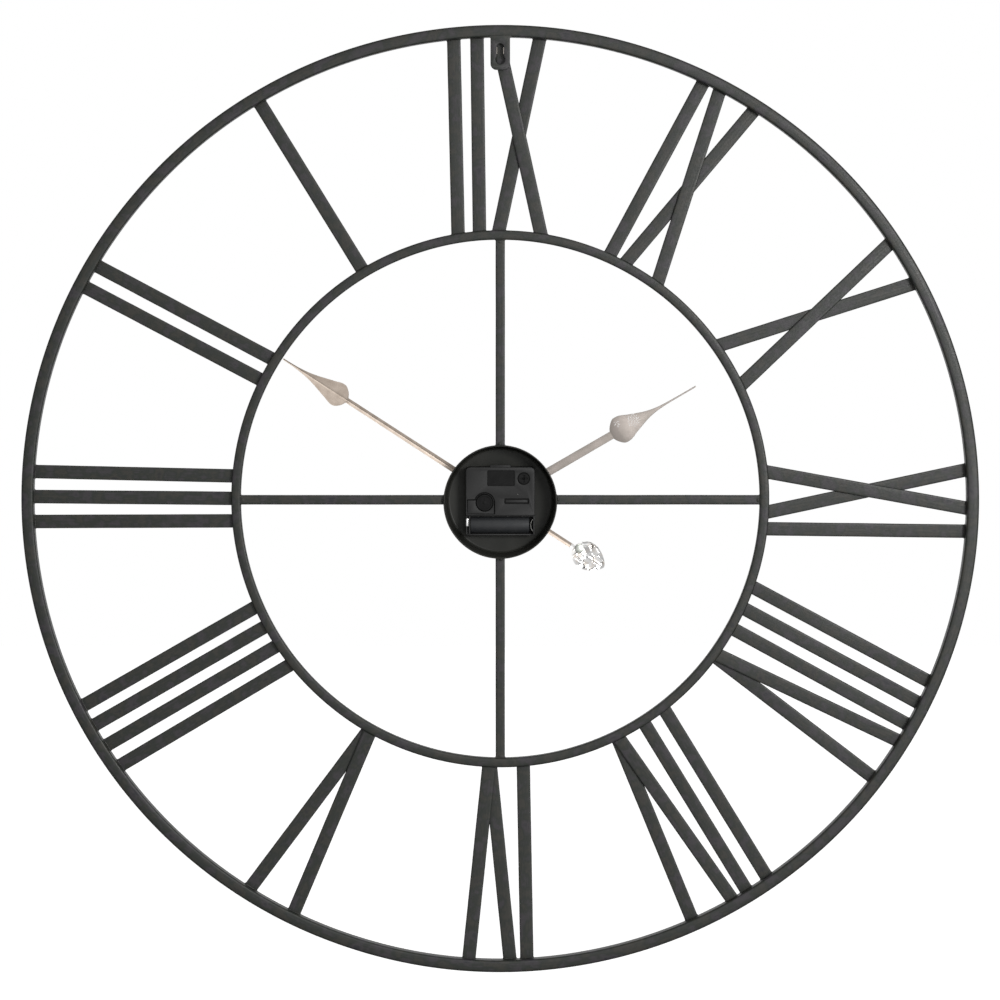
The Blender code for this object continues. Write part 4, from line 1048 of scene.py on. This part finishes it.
def build_nuts():
    """Knurled cap nut on the arbor, and the hexagon nut that clamps the movement."""
    radius = reach_of("hand_nut")[1]
    low, high = depth_of("hand_nut")
    rim = fluted((0, 0), radius - 0.1 * MM, 0.1 * MM, 20)
    collar = plate([rim, circle((0, 0), 1.95 * MM)], low, low + 1.3 * MM, 0.15 * MM)
    dome = [(0, high), (1.2 * MM, high - 0.05 * MM),
            (2.2 * MM, high - 0.35 * MM), (2.8 * MM, high - 0.9 * MM)]
    dome += [(2.8 * MM, low + 1 * MM), (0, low + 1 * MM)]
    meshes = [collar, turned(dome, 40, solid=True)]
    piece("hand_nut_knurled", meshes, NICKEL, "minute_hand", ["hand_nut"])

    low, high = depth_of("hex_nut")
    bore, corners = reach_of("hex_nut")
    hexagon = fillet(circle((0, 0), corners, 6), 0.5 * MM, 3)
    nut = plate([hexagon, circle((0, 0), bore)], low, high, 0.3 * MM, 3)
    piece("hex_nut_turned", [nut], BRASS, replaces=["hex_nut"])


# ---------------- CAD nodes that stay
KEPT = {
    "front_housing": PLASTIC,
    "negative_contact": DULL,
    "circuit_board": BOARD,
    "coil": COPPER,
    "stator": BRIGHT,
    "rotor": MAGNET,
    "fifth_wheel": NYLON,
    "second_wheel": NYLON,
    "third_wheel": NYLON,
    "centre_wheel": BRASS,
    "minute_arbor": BRIGHT,
    "minute_wheel": NYLON,
    "hour_wheel": NYLON,
    "time_set_knob": DARK_PLASTIC,
    "rubber_washer": RUBBER,
}


def dress_kept_nodes():
    """Procedural materials for the CAD nodes that are shown as they are."""
    for node, material in KEPT.items():
        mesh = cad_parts[node].data
        mesh.materials.clear()
        mesh.materials.append(material)


# ---------------- studio
def build_world():
    """White backdrop for the camera; for light, bright behind and before the clock, dark at its sides."""
    world = bpy.data.worlds.new("studio")
    bpy.context.scene.world = world
    world.use_nodes = True
    tree = world.node_tree
    tree.nodes.clear()
    where = add(tree, "TexCoord").outputs["Generated"]
    split = add(tree, "SeparateXYZ", Vector=where)
    facing = span(tree, split.outputs["Y"], (0.25, 0.6), (0.15, 1.0))
    facing = maths(tree, "MULTIPLY", facing, span(tree, split.outputs["X"], (-0.15, 0.3), (1.0, 0.5)))
    height = span(tree, split.outputs["Z"], (-0.6, -0.25), (0.4, 1.0))
    behind = span(tree, split.outputs["Y"], (-0.45, -0.1), (0.92, 0.0))
    strength = maths(tree, "MAXIMUM", maths(tree, "MULTIPLY", facing, height), behind)
    lighting = add(tree, "Background", Color=(1, 1, 1, 1), Strength=strength)
    backdrop = add(tree, "Background", Color=(1, 1, 1, 1), Strength=1.0)
    chooser = add(tree, "MixShader")
    output = add(tree, "OutputWorld")
    tree.links.new(add(tree, "LightPath").outputs["Is Camera Ray"], chooser.inputs[0])
    tree.links.new(lighting.outputs[0], chooser.inputs[1])
    tree.links.new(backdrop.outputs[0], chooser.inputs[2])
    tree.links.new(chooser.outputs[0], output.inputs["Surface"])


def softbox(name, place, target, size, power):
    """Round soft light aimed at a target; size in metres, power in watts."""
    light = bpy.data.lights.new(name, "AREA")
    light.shape = "DISK"
    light.size = size
    light.energy = power
    lamp = bpy.data.objects.new(name, light)
    bpy.context.scene.collection.objects.link(lamp)
    lamp.location = place
    lamp.rotation_euler = (Vector(target) - Vector(place)).to_track_quat("-Z", "Y").to_euler()


def build_floor():
    """Plain pale floor, well below the hanging clock."""
    surface_height = -1.3
    half = 12
    corners = [(x, y, 0) for x, y in rectangle((-half, half), (-half, half))]
    mesh = bpy.data.meshes.new("floor")
    mesh.from_pydata(corners, [], [(0, 1, 2, 3)])
    material = bpy.data.materials.new("floor_white")
    material.use_nodes = True
    shader = material.node_tree.nodes["Principled BSDF"]
    shader.inputs["Base Color"].default_value = (0.92, 0.92, 0.92, 1)
    shader.inputs["Roughness"].default_value = 0.9
    shader.inputs["Emission Color"].default_value = (1, 1, 1, 1)
    shader.inputs["Emission Strength"].default_value = 0.6
    mesh.materials.append(material)
    floor = bpy.data.objects.new("floor", mesh)
    floor.location = (0, 0, surface_height)
    floor.visible_glossy = False
    floor.visible_diffuse = False
    bpy.context.scene.collection.objects.link(floor)


def build_camera():
    """Behind the clock and a little above it, with a long lens."""
    camera_data = bpy.data.cameras.new("camera")
    camera_data.sensor_width = 36
    camera_data.lens = 136.5
    camera = bpy.data.objects.new("camera", camera_data)
    bpy.context.scene.collection.objects.link(camera)
    distance = 3.1
    raised = math.radians(3.4)
    target = Vector((0.0002, WALL, 0.0018))
    back = Vector((0, math.cos(raised), math.sin(raised)))
    camera.location = target + back * distance
    camera.rotation_euler = (-back).to_track_quat("-Z", "Y").to_euler()
    camera_data.clip_start = 0.1
    camera_data.clip_end = 100
    bpy.context.scene.camera = camera


# ---------------- build
build_rings()
build_numerals()
build_spokes()
build_hanger()
build_cup()
build_rear_cover()
build_knob()
build_cover_screw()
build_battery()
build_contacts()
build_hour_hand()
build_minute_hand()
build_counterweight()
build_nuts()
dress_kept_nodes()
build_world()
softbox("key", place=(-1.0, 2.2, 0.4), target=(0, 0, 0), size=0.6, power=24)
build_floor()
build_camera()
bpy.context.scene.view_settings.view_transform = "Standard"
